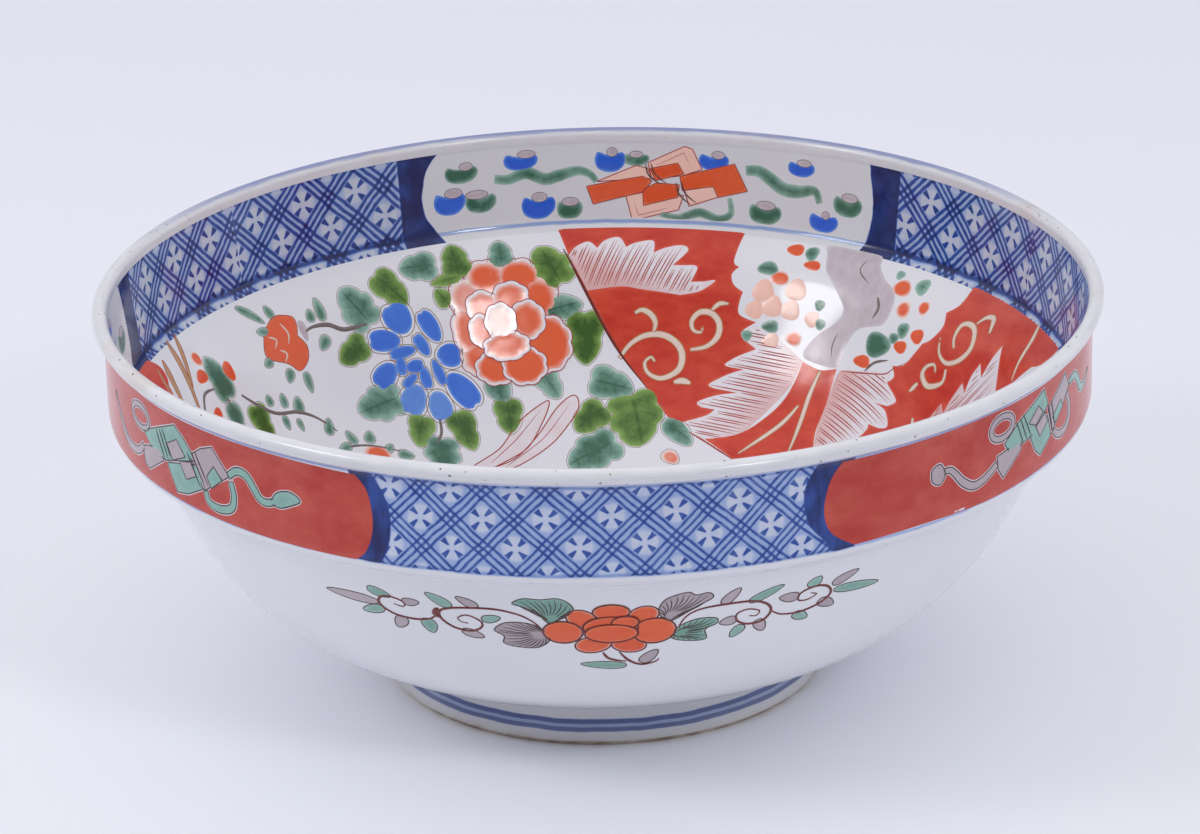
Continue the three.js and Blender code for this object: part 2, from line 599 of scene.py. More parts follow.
def spread(chart, outline, margin):
    """An outline moved outwards by a margin in millimetres."""
    scale = chart.mean_scale(outline)
    flat = outline * (scale, 1)
    onward = np.roll(flat, -1, axis=0)
    along = onward - np.roll(flat, 1, axis=0)
    along /= np.maximum(1e-9, np.linalg.norm(along, axis=1))[:, None]
    away = np.stack([along[:, 1], -along[:, 0]], 1)
    area = float(np.sum(flat[:, 0] * onward[:, 1] - onward[:, 0] * flat[:, 1]))
    return (flat + away * margin * math.copysign(1, area)) / (scale, 1)


def oval(size, degrees=0.0, points=20):
    """An oval in millimetres about its middle."""
    share = np.linspace(0, math.tau, points, endpoint=False)
    return turned_flat(np.stack([np.cos(share), np.sin(share)], 1) * size / 2, degrees)


def turned_flat(points, degrees, centre=(0, 0)):
    """Flat points turned about the origin, clockwise on a chart whose distance runs down, then moved."""
    angle = math.radians(degrees)
    spin = np.array([[math.cos(angle), math.sin(angle)], [-math.sin(angle), math.cos(angle)]])
    return np.array(points, float) @ spin + np.array(centre, float)


def on_chart(chart, anchor, points):
    """Flat millimetres round an anchor as places on a chart."""
    places = np.array(points, float)
    places[:, 0] = anchor[0] + places[:, 0] / chart.scale(anchor[1])
    places[:, 1] += anchor[1]
    return places


def inside(outlines, points):
    """Which points lie inside an odd number of the outlines."""
    found = np.zeros(len(points), bool)
    for line in outlines:
        start, end = line, np.roll(line, -1, axis=0)
        for (x0, y0), (x1, y1) in zip(start, end):
            if y0 == y1:
                continue
            crosses = (points[:, 1] > y0) != (points[:, 1] > y1)
            found ^= crosses & (points[:, 0] < x0 + (points[:, 1] - y0) * (x1 - x0) / (y1 - y0))
    return found


def depth_from(outlines, points):
    """How far each point is from the nearest of the outlines."""
    nearest = np.full(len(points), 1e9)
    for line in outlines:
        start, end = line, np.roll(line, -1, axis=0)
        for a, b in zip(start, end):
            side = b - a
            share = np.clip(((points - a) @ side) / max(float(side @ side), 1e-12), 0, 1)
            nearest = np.minimum(nearest, np.hypot(*(points - a - share[:, None] * side).T))
    return nearest


def mean_width(lines):
    """How wide a shape is on average: twice its area for each millimetre of its edge."""
    area = 0.0
    edge = 0.0
    for number, line in enumerate(lines):
        onward = np.roll(line, -1, axis=0)
        part = abs(float(np.sum(line[:, 0] * onward[:, 1] - onward[:, 0] * line[:, 1]))) / 2
        area += part if number == 0 else -part
        edge += float(np.sum(np.hypot(*(onward - line).T)))
    return 2 * area / edge


class Enamel:
    """Gathers closed patches of one enamel, each raised a little from its chart, to make one piece."""

    def __init__(self, box, rise):
        self.box = box
        self.chart = box.chart
        self.rise = rise
        self.points = []
        self.faces = []
        self.tones = []
        self.edges = []
        self.paint = []
        self.count = 0

    def patch(self, outline, holes=(), tone=0.0, grain=None, base=0.0):
        """One patch. The grain is its middle, direction, half length and half width, for veins along it."""
        scale = self.chart.mean_scale(outline)
        lines = [np.array(line, float) * (scale, 1) for line in (outline, *holes)]
        low, high = lines[0].min(axis=0), lines[0].max(axis=0)
        gap = min(patch_spacing, max(patch_closest, mean_width(lines) / 3))
        xs = np.arange(low[0], high[0], gap)
        ys = np.arange(low[1], high[1], gap * math.sqrt(0.75))
        grid = np.array([(x + row % 2 * gap / 2, y) for row, y in enumerate(ys) for x in xs])
        grid = grid[inside(lines, grid)]
        grid = grid[depth_from(lines, grid) > gap * 0.5]
        flat = np.vstack([*lines, grid])
        rims = []
        first = 0
        for line in lines:
            rims += [(first + i, first + (i + 1) % len(line)) for i in range(len(line))]
            first += len(line)
        corners = [Vector(p) for p in flat]
        vertices, _, triangles, *_ = geometry.delaunay_2d_cdt(corners, rims, [], 0, 1e-5)
        flat = np.array([tuple(v) for v in vertices])
        triangles = np.array(triangles)
        triangles = triangles[inside(lines, flat[triangles].mean(axis=1))]
        self.shell(flat, triangles, depth_from(lines, flat), scale, tone, grain, base)

    def shell(self, flat, triangles, depth, scale, tone, grain, base):
        """Two skins over the same triangles, joined by a wall round every edge."""
        count = len(flat)
        top = base + patch_edge_lift + self.rise * (1 - np.exp(-depth / patch_shoulder))
        under = np.full(count, -patch_sink)
        degrees = flat[:, 0] / scale + self.box.shift
        self.points += [self.chart.place(degrees, flat[:, 1], lift) for lift in (top, under)]
        a, b, c = self.points[-2][triangles[0]]
        middle = flat[triangles[0]].mean(axis=0)
        facing = self.chart.normal(middle[0] / scale + self.box.shift, middle[1])
        if np.dot(np.cross(b - a, c - a), facing) < 0:
            triangles = triangles[:, ::-1]
        top_start, under_start = self.count, self.count + count
        sides = {}
        for tri in triangles.tolist():
            for one, two in zip(tri, tri[1:] + tri[:1]):
                sides[(one, two)] = True
        self.faces += (triangles + top_start).tolist()
        self.faces += (triangles[:, ::-1] + under_start).tolist()
        for one, two in sides:
            if (two, one) not in sides:
                self.faces.append([top_start + two, top_start + one, under_start + one, under_start + two])
        self.count += 2 * count
        self.tones += [tone] * (2 * count)
        self.edges += list(depth) * 2
        self.paint += list(self.grained(flat, scale, grain)) * 2

    def grained(self, flat, scale, grain):
        """Where each point is along and across the grain, or its flat place in millimetres without one."""
        if grain is None:
            return flat
        centre, degrees, half_length, half_width = grain
        angle = math.radians(degrees)
        along = np.array([math.cos(angle), math.sin(angle)])
        across = np.array([-math.sin(angle), math.cos(angle)])
        offset = flat - np.array([centre[0] * scale, centre[1]])
        return np.stack([offset @ along / half_length, offset @ across / half_width], axis=1)

    def piece(self, name, material, slot):
        mesh = bpy.data.meshes.new(name)
        mesh.from_pydata([tuple(p) for p in np.vstack(self.points)], [], self.faces)
        for label, values in (("tone", self.tones), ("edge", self.edges)):
            mesh.attributes.new(label, "FLOAT", "POINT").data.foreach_set("value", values)
        layer = mesh.uv_layers.new(name="Paint")
        corners = np.zeros(len(mesh.loops), int)
        mesh.loops.foreach_get("vertex_index", corners)
        layer.data.foreach_set("uv", np.array(self.paint)[corners].ravel())
        mesh.materials.append(material)
        mesh.shade_smooth()
        mesh.set_sharp_from_angle(angle=math.radians(50))
        settle(in_scene(name, mesh), slot)


class Brushwork:
    """Gathers brush lines of one colour on a chart, to make one piece."""

    def __init__(self, box):
        self.box = box
        self.chart = box.chart
        self.points = []
        self.facing = []
        self.breadth = []
        self.edges = []
        self.count = 0

    def line(self, places, width, start=0.35, end=0.2, closed=False, smooth=True, base=0.0):
        """A line of a width in millimetres, which swells from its start and thins towards its end."""
        path = np.array(places, float)
        if smooth:
            path = rounded(path, closed, brush_spacing, self.chart.mean_scale(path))
        count = len(path)
        share = np.arange(count) / max(1, count - 1)
        swell = np.ones(count)
        if not closed:
            swell = np.minimum(1, start + (1 - start) * share / 0.25)
            swell = np.minimum(swell, end + (1 - end) * (1 - share) / 0.35)
        degrees = path[:, 0] + self.box.shift
        self.points.append(self.chart.place(degrees, path[:, 1], base))
        self.facing.append(self.chart.normal(degrees, path[:, 1]))
        self.breadth += list(swell * width / 2 * MM)
        self.edges += [(self.count + i, self.count + i + 1) for i in range(count - 1)]
        if closed:
            self.edges.append((self.count + count - 1, self.count))
        self.count += count

    def piece(self, name, material, slot):
        seed = bpy.data.meshes.new(name)
        seed.from_pydata([tuple(p) for p in np.vstack(self.points)], self.edges, [])
        facing = seed.attributes.new("facing", "FLOAT_VECTOR", "POINT")
        facing.data.foreach_set("vector", np.vstack(self.facing).ravel())
        seed.attributes.new("breadth", "FLOAT", "POINT").data.foreach_set("value", self.breadth)
        settle(grown(name, seed, tree_named("Brush line"), {"Material": material}, 180), slot)


# Shader node groups


class Field:
    """A number that changes over a surface. Arithmetic on it adds nodes to its tree."""

    def __init__(self, wiring, socket):
        self.wiring = wiring
        self.socket = socket

    def math(self, operation, *others):
        return Field(self.wiring, self.wiring.math(operation, self, *others))

    def __add__(self, other):
        return self.math("ADD", other)

    def __sub__(self, other):
        return self.math("SUBTRACT", other)

    def __mul__(self, other):
        return self.math("MULTIPLY", other)

    def __truediv__(self, other):
        return self.math("DIVIDE", other)

    def __abs__(self):
        return self.math("ABSOLUTE")

    def most(self, other):
        return self.math("MAXIMUM", other)

    def fold(self, length=1.0):
        """The distance, with its sign, to the nearest whole multiple of a length."""
        return self - self.math("DIVIDE", length).math("ROUND") * length

    def rise(self, low, high):
        """0 below low and 1 above high, smoothly; the other way round where low is the larger."""
        node = self.wiring.new(
            "ShaderNodeMapRange",
            {"Value": self, "From Min": low, "From Max": high},
            interpolation_type="SMOOTHSTEP",
        )
        return Field(self.wiring, node.outputs["Result"])

    def stroke(self, width, soft=0.25):
        """1 within half a width of zero, with soft edges."""
        return abs(self).rise(width / 2 + soft / 2, max(0.0, width / 2 - soft / 2))


def shader_group(name, inputs, outputs):
    """An empty shader group, with its wiring and its inputs. Inputs hold a socket kind and a default."""
    tree = bpy.data.node_groups.new(name, "ShaderNodeTree")
    for label, (kind, default) in inputs.items():
        socket = tree.interface.new_socket(label, in_out="INPUT", socket_type="NodeSocket" + kind)
        socket.default_value = default
    for label, kind in outputs.items():
        tree.interface.new_socket(label, in_out="OUTPUT", socket_type="NodeSocket" + kind)
    wiring = Wiring(tree)
    given = tree.nodes.new("NodeGroupInput").outputs
    fields = {label: Field(wiring, given[label]) for label in inputs}
    return tree, wiring, fields


def split(wiring, value, kind="XYZ"):
    """The three parts of a vector, or of a colour, as fields."""
    outputs = wiring.new("ShaderNodeSeparate" + kind, {0: value}).outputs
    return [Field(wiring, output) for output in outputs]


def noise(wiring, place, scale, detail=2.0, roughness=0.5, stretch=None):
    """Smooth noise from 0 to 1. The place is in millimetres, and the scale is in lumps a millimetre."""
    if stretch:
        place = wiring.new("ShaderNodeMapping", {"Vector": place, "Scale": stretch}).outputs[0]
    node = wiring.new(
        "ShaderNodeTexNoise",
        {"Vector": place, "Scale": scale, "Detail": detail, "Roughness": roughness},
    )
    return Field(wiring, node.outputs["Fac"])


def mixed(wiring, share, first, second, way="MIX"):
    """Two colours mixed by a share."""
    node = wiring.new(
        "ShaderNodeMix",
        {0: share, 6: first, 7: second},
        data_type="RGBA",
        blend_type=way,
        clamp_factor=True,
    )
    return node.outputs[2]


def place_group():
    """Where a point is on the bowl: millimetres, and degrees round it for each of its faces."""
    tree, wiring, given = shader_group(
        "Place on the bowl",
        {"Position": ("Vector", (0, 0, 0))},
        {
            "Millimetres": "Vector",
            "Outside Angle": "Float",
            "Inside Angle": "Float",
            "Radius": "Float",
            "Height": "Float",
        },
    )
    scaled = wiring.new(
        "ShaderNodeVectorMath",
        {0: given["Position"], "Scale": 1 / MM},
        operation="SCALE",
    ).outputs[0]
    x, y, height = split(wiring, scaled)
    wiring.new("NodeGroupOutput", {
        "Millimetres": scaled,
        "Outside Angle": x.math("ARCTAN2", y * -1).math("DEGREES"),
        "Inside Angle": x.math("ARCTAN2", y).math("DEGREES"),
        "Radius": (x * x + y * y).math("SQRT"),
        "Height": height,
    })
    return tree


def lattice_group():
    """Crossed bands of three brush strokes, with a four-petalled flower left pale in every opening."""
    tree, wiring, given = shader_group(
        "Cobalt lattice",
        {
            "Along": ("Float", 0.0),
            "Up": ("Float", 0.0),
            "Millimetres": ("Vector", (0, 0, 0)),
            "Pitch Along": ("Float", 14.7),
            "Pitch Up": ("Float", 14.4),
            "Stroke": ("Float", 0.66),
            "Load": ("Float", 1.0),
        },
        {"Tone": "Float"},
    )
    wander_x = (noise(wiring, given["Millimetres"], 0.13) - 0.5) * 0.09
    wander_y = (noise(wiring, given["Millimetres"], 0.17, stretch=(1, 1, -1)) - 0.5) * 0.09
    shake = (noise(wiring, given["Millimetres"], 0.7) - 0.5) * 0.018
    across = given["Along"] / given["Pitch Along"]
    up = given["Up"] / given["Pitch Up"]
    loaded = noise(wiring, given["Millimetres"], 0.45, detail=3)
    half = given["Stroke"] * 0.045
    soft = 0.022
    flat = [(across + up * lean + wander + shake).fold() for lean, wander in ((1, wander_x), (-1, wander_y))]
    tone = None
    for one, other, wander in ((*flat, wander_x), (*flat[::-1], wander_y)):
        from_band = (abs(one) - 0.5) * -1
        middle = (from_band - half).rise(soft, -soft)
        sides = (abs(from_band - 0.145) - half).rise(soft, -soft)
        strokes = middle.most(sides) * (loaded * 0.9 + 0.35)
        wedge = (abs(one + other * wander * 2) - abs(other) * 0.26).rise(0.012, -0.02)
        cut = wedge * abs(other).rise(0.07, 0.12) * abs(other).rise(0.32, 0.27)
        part = strokes + cut * (loaded * 0.9 + 0.5)
        tone = part if tone is None else tone.most(part) * 0.55 + (tone + part) * 0.4
    flower = (flat[0] * flat[0] + flat[1] * flat[1]).math("SQRT")
    wash = flower.rise(0.25, 0.36) * 0.12 + loaded * 0.14 + 0.1
    wiring.new("NodeGroupOutput", {"Tone": tone * 0.8 * given["Load"] + wash})
    return tree


def cobalt_group():
    """Cobalt under the glaze: a tone from 0 to about 1.6 laid over the white body."""
    tree, wiring, given = shader_group(
        "Cobalt under glaze",
        {
            "Body": ("Color", (0.8, 0.8, 0.8, 1)),
            "Pale": ("Color", (0.4, 0.45, 0.7, 1)),
            "Full": ("Color", (0.05, 0.08, 0.4, 1)),
            "Deep": ("Color", (0.01, 0.015, 0.1, 1)),
            "Tone": ("Float", 0.0),
        },
        {"Color": "Color"},
    )
    tone = given["Tone"]
    pale = mixed(wiring, tone.rise(0.0, 0.35), given["Body"], given["Pale"])
    full = mixed(wiring, tone.rise(0.25, 0.95), pale, given["Full"])
    deep = mixed(wiring, tone.rise(0.85, 1.6), full, given["Deep"])
    wiring.new("NodeGroupOutput", {"Color": deep})
    return tree


def glaze_group():
    """Clear glaze: faint clouding, iron specks and pinholes, and a surface that isn't quite even."""
    tree, wiring, given = shader_group(
        "Clear glaze",
        {
            "Color": ("Color", (0.8, 0.8, 0.8, 1)),
            "Millimetres": ("Vector", (0, 0, 0)),
            "Specks": ("Float", 0.02),
            "Speck Color": ("Color", (0.12, 0.08, 0.06, 1)),
            "Roughness": ("Float", 0.1),
        },
        {"Color": "Color", "Roughness": "Float", "Height": "Float"},
    )
    cloud = noise(wiring, given["Millimetres"], 0.05, detail=3).rise(0.25, 0.75)
    clouded = mixed(wiring, cloud * 0.5, given["Color"], (0.93, 0.96, 0.98, 1), "MULTIPLY")
    cells = wiring.new("ShaderNodeTexVoronoi", {"Vector": given["Millimetres"], "Scale": 0.22})
    chance, size, _ = split(wiring, cells.outputs["Color"], "Color")
    from_speck = Field(wiring, cells.outputs["Distance"]) - size * 0.05
    speck = from_speck.rise(0.05, 0.01) * (chance + given["Specks"] - 1).rise(0.0, 0.01)
    swell = noise(wiring, given["Millimetres"], 0.06) * 0.03
    ripple = noise(wiring, given["Millimetres"], 0.7, detail=1) * 0.0016
    wiring.new("NodeGroupOutput", {
        "Color": mixed(wiring, speck * 0.6, clouded, given["Speck Color"]),
        "Roughness": given["Roughness"] + speck * 0.2 + (cloud - 0.5) * 0.02,
        "Height": swell + ripple - speck * 0.02,
    })
    return tree


def shared_group(name):
    """A shader group by its name, built the first time that a material asks for it."""
    builders = {
        "Place on the bowl": place_group,
        "Cobalt lattice": lattice_group,
        "Cobalt under glaze": cobalt_group,
        "Clear glaze": glaze_group,
        "Enamel body": enamel_group,
    }
    return bpy.data.node_groups.get(name) or builders[name]()


def use_group(wiring, name, inputs):
    """What a shared group gives for some inputs, as fields by their names."""
    node = wiring.new("ShaderNodeGroup", inputs, node_tree=shared_group(name))
    return {output.name: Field(wiring, output) for output in node.outputs}


# Materials


def linked_material(name, outcome):
    """A material whose Principled shader takes its colour, roughness and height from an outcome."""
    material = bpy.data.materials.new(name)
    material.use_nodes = True
    wiring = Wiring(material.node_tree)
    shader = material.node_tree.nodes["Principled BSDF"]
    shader.inputs["IOR"].default_value = 1.5
    position = wiring.new("ShaderNodeTexCoord").outputs["Object"]
    found = outcome(wiring, position)
    wiring.feed(shader.inputs["Base Color"], found["Color"])
    wiring.feed(shader.inputs["Roughness"], found["Roughness"])
    bump = wiring.new("ShaderNodeBump", {"Height": found["Height"], "Strength": 1.0, "Distance": MM})
    wiring.feed(shader.inputs["Normal"], bump.outputs[0])
    return material


def place_fields(wiring, position):
    """Where the shaded point is on the bowl."""
    return use_group(wiring, "Place on the bowl", {"Position": position})


def cobalt_over_body(wiring, tone):
    """The white body with a tone of cobalt on it."""
    paint = bpy.context.scene.bowl_paint
    return use_group(wiring, "Cobalt under glaze", {
        "Body": (*paint.body_color, 1),
        "Pale": (*paint.cobalt_pale, 1),
        "Full": (*paint.cobalt_full, 1),
        "Deep": (*paint.cobalt_deep, 1),
        "Tone": tone,
    })["Color"]


def glazed(wiring, color, at):
    """A colour seen through the clear glaze."""
    return use_group(wiring, "Clear glaze", {"Color": color, "Millimetres": at["Millimetres"]})


def shell_glaze():
    """The wall and floor: white, with a cobalt flower in a double ring at the bottom of the well."""

    def outcome(wiring, position):
        at = place_fields(wiring, position)
        wander = (noise(wiring, at["Millimetres"], 0.12) - 0.5) * 1.2
        radius = at["Radius"] + wander
        lobes = (at["Inside Angle"].math("RADIANS") * 8).math("COSINE")
        rings = (radius - outer_ring_radius).stroke(1.1, 0.5) + (radius - inner_ring_radius).stroke(0.6, 0.4)
        outer_petals = radius - lobes * outer_petal_wave - outer_petal_radius
        inner_petals = radius + lobes * inner_petal_wave - inner_petal_radius
        petals = outer_petals.stroke(0.9, 0.5) + inner_petals.stroke(0.8, 0.5)
        heart = (radius - heart_radius).stroke(0.9, 0.5) + radius.rise(3.2, 2.6)
        shade_in = outer_petals.rise(-1.5, -9.0) * 0.28
        upper = at["Height"].rise(base_height + 1.5, base_height + 2.5)
        load = noise(wiring, at["Millimetres"], 0.35, detail=3) * 0.6 + 0.6
        tone = (rings + petals + heart + shade_in) * load * upper
        return glazed(wiring, cobalt_over_body(wiring, tone), at)

    return linked_material("Glazed wall", outcome)


def collar_glaze():
    """Both faces of the collar: lattice panels between dark bars, and thin lines along its edges."""

    def outcome(wiring, position):
        at = place_fields(wiring, position)
        lean = (seat_inside.x - inside_corner.x) / (seat_inside.y - inside_corner.y)
        inner_face = (at["Height"] - inside_corner.y) * lean + inside_corner.x
        outer = (at["Radius"] - inner_face).rise(0.4, 0.7)
        tone = outer_cobalt(wiring, at) * outer + inner_cobalt(wiring, at) * (outer * -1 + 1)
        # Painted shade: where the inside face is left white, it is mixed toward grey as if in shade.
        bare = (outer * -1 + 1) * tone.rise(0.6, 0.1)
        shaded_inner_white = mixed(wiring, bare * 0.24, cobalt_over_body(wiring, tone), (0.44, 0.44, 0.42, 1))
        return glazed(wiring, shaded_inner_white, at)

    return linked_material("Painted collar", outcome)


def outer_cobalt(wiring, at):
    """Outside, a lattice panel faces the viewer, with its like a third of a turn to either side."""
    up = at["Height"] - keel_height
    turn = at["Outside Angle"].fold(THIRD)
    wander = noise(wiring, at["Millimetres"], 0.12) - 0.5
    lattice = use_group(wiring, "Cobalt lattice", {
        "Along": (turn - lattice_middle) * math.radians(collar_radius),
        "Up": up - turn * 0.1 - lattice_row,
        "Millimetres": at["Millimetres"],
    })["Tone"]
    left_in = turn + (up - 12.0) * (up - 12.0) * 0.013 + lattice_left_end + wander * 0.8
    right_in = turn - (up - 16.0) * (up - 16.0) * 0.02 - lattice_right_end + wander * 0.8
    panel = left_in.rise(-0.15, 0.15) * right_in.rise(0.15, -0.15)
    past_panel = left_in.rise(0.15, -0.15).most(right_in.rise(-0.15, 0.15))
    bars = past_panel * abs(turn).rise(outer_bar_edge + 0.2, outer_bar_edge - 0.2)
    above_foot, above_top = up - band_foot, up - band_top
    band = (above_foot + wander * 0.9).rise(0.0, 0.5) * (above_top + wander * 0.6).rise(0.3, -0.3)
    mottle = noise(wiring, at["Millimetres"], 0.3, detail=4, stretch=(1, 1, 0.35))
    top_line = (above_top + wander * 0.8 + 0.2).stroke(0.9, 0.7) * 0.3
    foot_line = (above_foot + wander * 1.2 - 0.4).stroke(0.8, 0.9) * 0.25
    halo = (above_foot + 1.0).stroke(3.4, 3.0) * 0.06 + (above_top - 0.8).stroke(2.4, 2.2) * 0.08
    painted = lattice * panel + bars * (mottle * 1.7 + 0.4)
    return painted * band + top_line + foot_line + halo


def inner_cobalt(wiring, at):
    """Inside, a white panel lies across the far side, and the lattice fills the rest."""
    up = at["Height"] - inside_corner.y
    turn = (at["Inside Angle"] - white_middle).fold(THIRD)
    wander = noise(wiring, at["Millimetres"], 0.12) - 0.5
    lattice = use_group(wiring, "Cobalt lattice", {
        "Along": (turn - inner_lattice_middle) * math.radians(inside_corner.x),
        "Up": up - inner_lattice_pitch,
        "Millimetres": at["Millimetres"],
        "Pitch Along": inner_lattice_pitch,
        "Pitch Up": inner_lattice_pitch,
        "Stroke": 0.85,
        "Load": 1.3,
    })["Tone"]
    bow = (up - 11.0) * (up - 11.0)
    left_edge = turn - bow * 0.018 + white_left_end + wander
    right_edge = turn + bow * 0.008 - white_right_end + wander
    white = left_edge.rise(-0.1, 0.15) * right_edge.rise(0.1, -0.15)
    ink = (white * -1 + 1) * abs(turn).rise(inner_bar_edge + 0.2, inner_bar_edge - 0.2)
    panel = (abs(turn) + wander * 1.5).rise(inner_bar_edge - 0.4, inner_bar_edge + 0.4)
    mottle = noise(wiring, at["Millimetres"], 0.2, detail=3)
    from_line = up - inner_foot_line
    foot = (from_line + wander * 2.0 - 0.3).stroke(1.6, 1.2) * panel * 0.55
    line = (from_line + wander * 0.7).stroke(0.9, 0.7) * 0.42
    # Painted shade: a faint cobalt darkening over the top of the inside face, under the lip.
    top = (up - inner_top_shade + wander * 0.6).rise(-0.5, 0.8) * 0.12
    return lattice * panel + ink * (mottle + 0.95) + line + top + foot


def foot_glaze():
    """The ring: two cobalt lines and a faint third on glaze greyed by painted shade, with a brown stain
    below them.
    """

    def outcome(wiring, position):
        at = place_fields(wiring, position)
        wander = (noise(wiring, at["Millimetres"], 0.1) - 0.5) * 0.7
        level = at["Height"] + wander
        outer = at["Radius"].rise(foot_inner_radius + 2, foot_inner_radius + 3)
        uneven = noise(wiring, at["Millimetres"], 0.3, detail=3) * 0.5 + 0.75
        lines = (level - lower_foot_line).stroke(1.05, 0.5) + (level - upper_foot_line).stroke(1.1, 0.5)
        between = (level - (lower_foot_line + upper_foot_line) / 2).stroke(2.0, 0.8) * 0.3
        faint = (level - faint_foot_line).stroke(0.5, 0.5) * 0.12
        tone = ((lines * 1.1).most(between) * uneven + faint) * outer
        blotch = noise(wiring, at["Millimetres"], 0.15, detail=4).rise(0.45, 0.75)
        # Painted shade: the glaze greys towards the bottom of the ring, as in the shadow under the bowl.
        grey = at["Height"].rise(13.0, 1.5) * 0.4
        color = mixed(wiring, grey, cobalt_over_body(wiring, tone), (0.36, 0.36, 0.38, 1))
        brown = at["Height"].rise(3.0, 1.2) * (blotch * 0.5 + 0.25)
        return glazed(wiring, mixed(wiring, brown, color, (0.36, 0.27, 0.19, 1)), at)

    return linked_material("Painted foot", outcome)


def lip_glaze():
    """The lip: glaze wiped thin, with fine streaks, tan stains and pits, and a blue line on its far side."""

    def outcome(wiring, position):
        at = place_fields(wiring, position)
        x, y = (part * 0.12 for part in split(wiring, at["Millimetres"])[:2])
        across = at["Radius"] * 1.3 + at["Height"]
        wiped = wiring.new("ShaderNodeCombineXYZ", {0: x, 1: y, 2: across}).outputs[0]
        streak = noise(wiring, wiped, 1.0, detail=3)
        cells = wiring.new("ShaderNodeTexVoronoi", {"Vector": at["Millimetres"], "Scale": 0.5})
        chance, size, _ = split(wiring, cells.outputs["Color"], "Color")
        inner = at["Radius"].rise(rim_radius - 1.8, rim_radius - 3.0)
        pit = (Field(wiring, cells.outputs["Distance"]) - size * 0.1).rise(0.11, 0.04)
        behind = y.rise(3.0, 11.0)
        worn = inner * 0.34 + x.rise(-6.0, -12.0) * 0.16
        pit = pit * (chance + worn - 0.70).rise(0.0, 0.05) * (behind * -0.85 + 1)
        tan = noise(wiring, at["Millimetres"], 0.045, detail=3).rise(0.56, 0.76)
        blue = (at["Radius"] + streak - (rim_radius - 1.4)).stroke(2.6, 0.9) * behind * 0.7
        paint = bpy.context.scene.bowl_paint
        thicker = streak.rise(0.35, 0.7) * 0.7
        color = mixed(wiring, thicker, (*paint.lip_color, 1), (*paint.body_color, 1))
        color = mixed(wiring, blue, color, (*paint.cobalt_full, 1))
        color = mixed(wiring, tan * 0.36, color, (0.62, 0.50, 0.40, 1))
        color = mixed(wiring, pit * 0.85, color, (0.13, 0.08, 0.055, 1))
        return {
            "Color": color,
            "Roughness": streak * 0.12 + pit * 0.4 + 0.1,
            "Height": streak * 0.05 - pit * 0.12,
        }

    return linked_material("Worn lip", outcome)


def biscuit():
    """The bare edge of the foot: dry, fine and stained brown by use."""

    def outcome(wiring, position):
        at = place_fields(wiring, position)
        grain = noise(wiring, at["Millimetres"], 3.0, detail=4)
        blotch = noise(wiring, at["Millimetres"], 0.2, detail=4).rise(0.3, 0.7)
        color = mixed(wiring, blotch, (0.62, 0.54, 0.46, 1), (0.30, 0.21, 0.14, 1))
        return {"Color": color, "Roughness": grain * 0.2 + 0.7, "Height": grain * 0.05}

    return linked_material("Bare biscuit", outcome)


def enamel_group():
    """Enamel over the glaze: light where it is thin and deep where it is thick, and changed at its rim."""
    tree, wiring, given = shader_group(
        "Enamel body",
        {
            "Thin": ("Color", (0.8, 0.3, 0.2, 1)),
            "Thick": ("Color", (0.5, 0.1, 0.05, 1)),
            "Rim": ("Color", (0.5, 0.1, 0.05, 1)),
            "Tone": ("Float", 0.5),
            "Edge": ("Float", 1.0),
            "Middle": ("Float", 0.0),
            "Rim Width": ("Float", 0.4),
            "Rim Strength": ("Float", 0.3),
            "Grain Place": ("Vector", (0, 0, 0)),
            "Grain": ("Float", 0.5),
            "Grain Scale": ("Float", 0.5),
            "Roughness": ("Float", 0.12),
        },
        {"Color": "Color", "Roughness": "Float", "Height": "Float"},
    )
    stroke = noise(wiring, given["Grain Place"], given["Grain Scale"], detail=4, roughness=0.6)
    pooled = given["Edge"].rise(0.2, 2.6) * given["Middle"]
    shade = given["Tone"] + (stroke - 0.5) * given["Grain"] + pooled
    color = mixed(wiring, shade, given["Thin"], given["Thick"])
    from_rim = given["Edge"] / given["Rim Width"] + (stroke - 0.5) * 1.2
    rim = from_rim.rise(1.0, 0.2) * given["Rim Strength"]
    wiring.new("NodeGroupOutput", {
        "Color": mixed(wiring, rim, color, given["Rim"]),
        "Roughness": given["Roughness"] + (stroke - 0.5) * 0.06,
        "Height": stroke * given["Grain"] * 0.02,
    })
    return tree


def leaf_veins(along, across):
    """The middle vein of a leaf and the side veins that leave it, as extra tone."""
    middle = abs(across).rise(0.09, 0.03) * abs(along).rise(0.95, 0.75)
    side = abs((along - abs(across) * 0.5).fold(0.42)).rise(0.05, 0.01) * abs(across).rise(0.8, 0.6)
    return middle.most(side * 0.6) * 0.3


def tip_fade(along, across):
    """A wash at the root of a frond, which leaves its tips white."""
    return (along + across * 0.1).rise(-0.9, 0.5)


def petal_fade(along, across):
    """Deep in the middle of a petal and washed out towards its edge."""
    return (along * along + across * across).rise(1.0, 0.15)


def shade_of(color, power):
    """The colour that a layer takes when it lies thicker, or thinner where the power is below 1."""
    return (*(part ** power for part in color), 1)


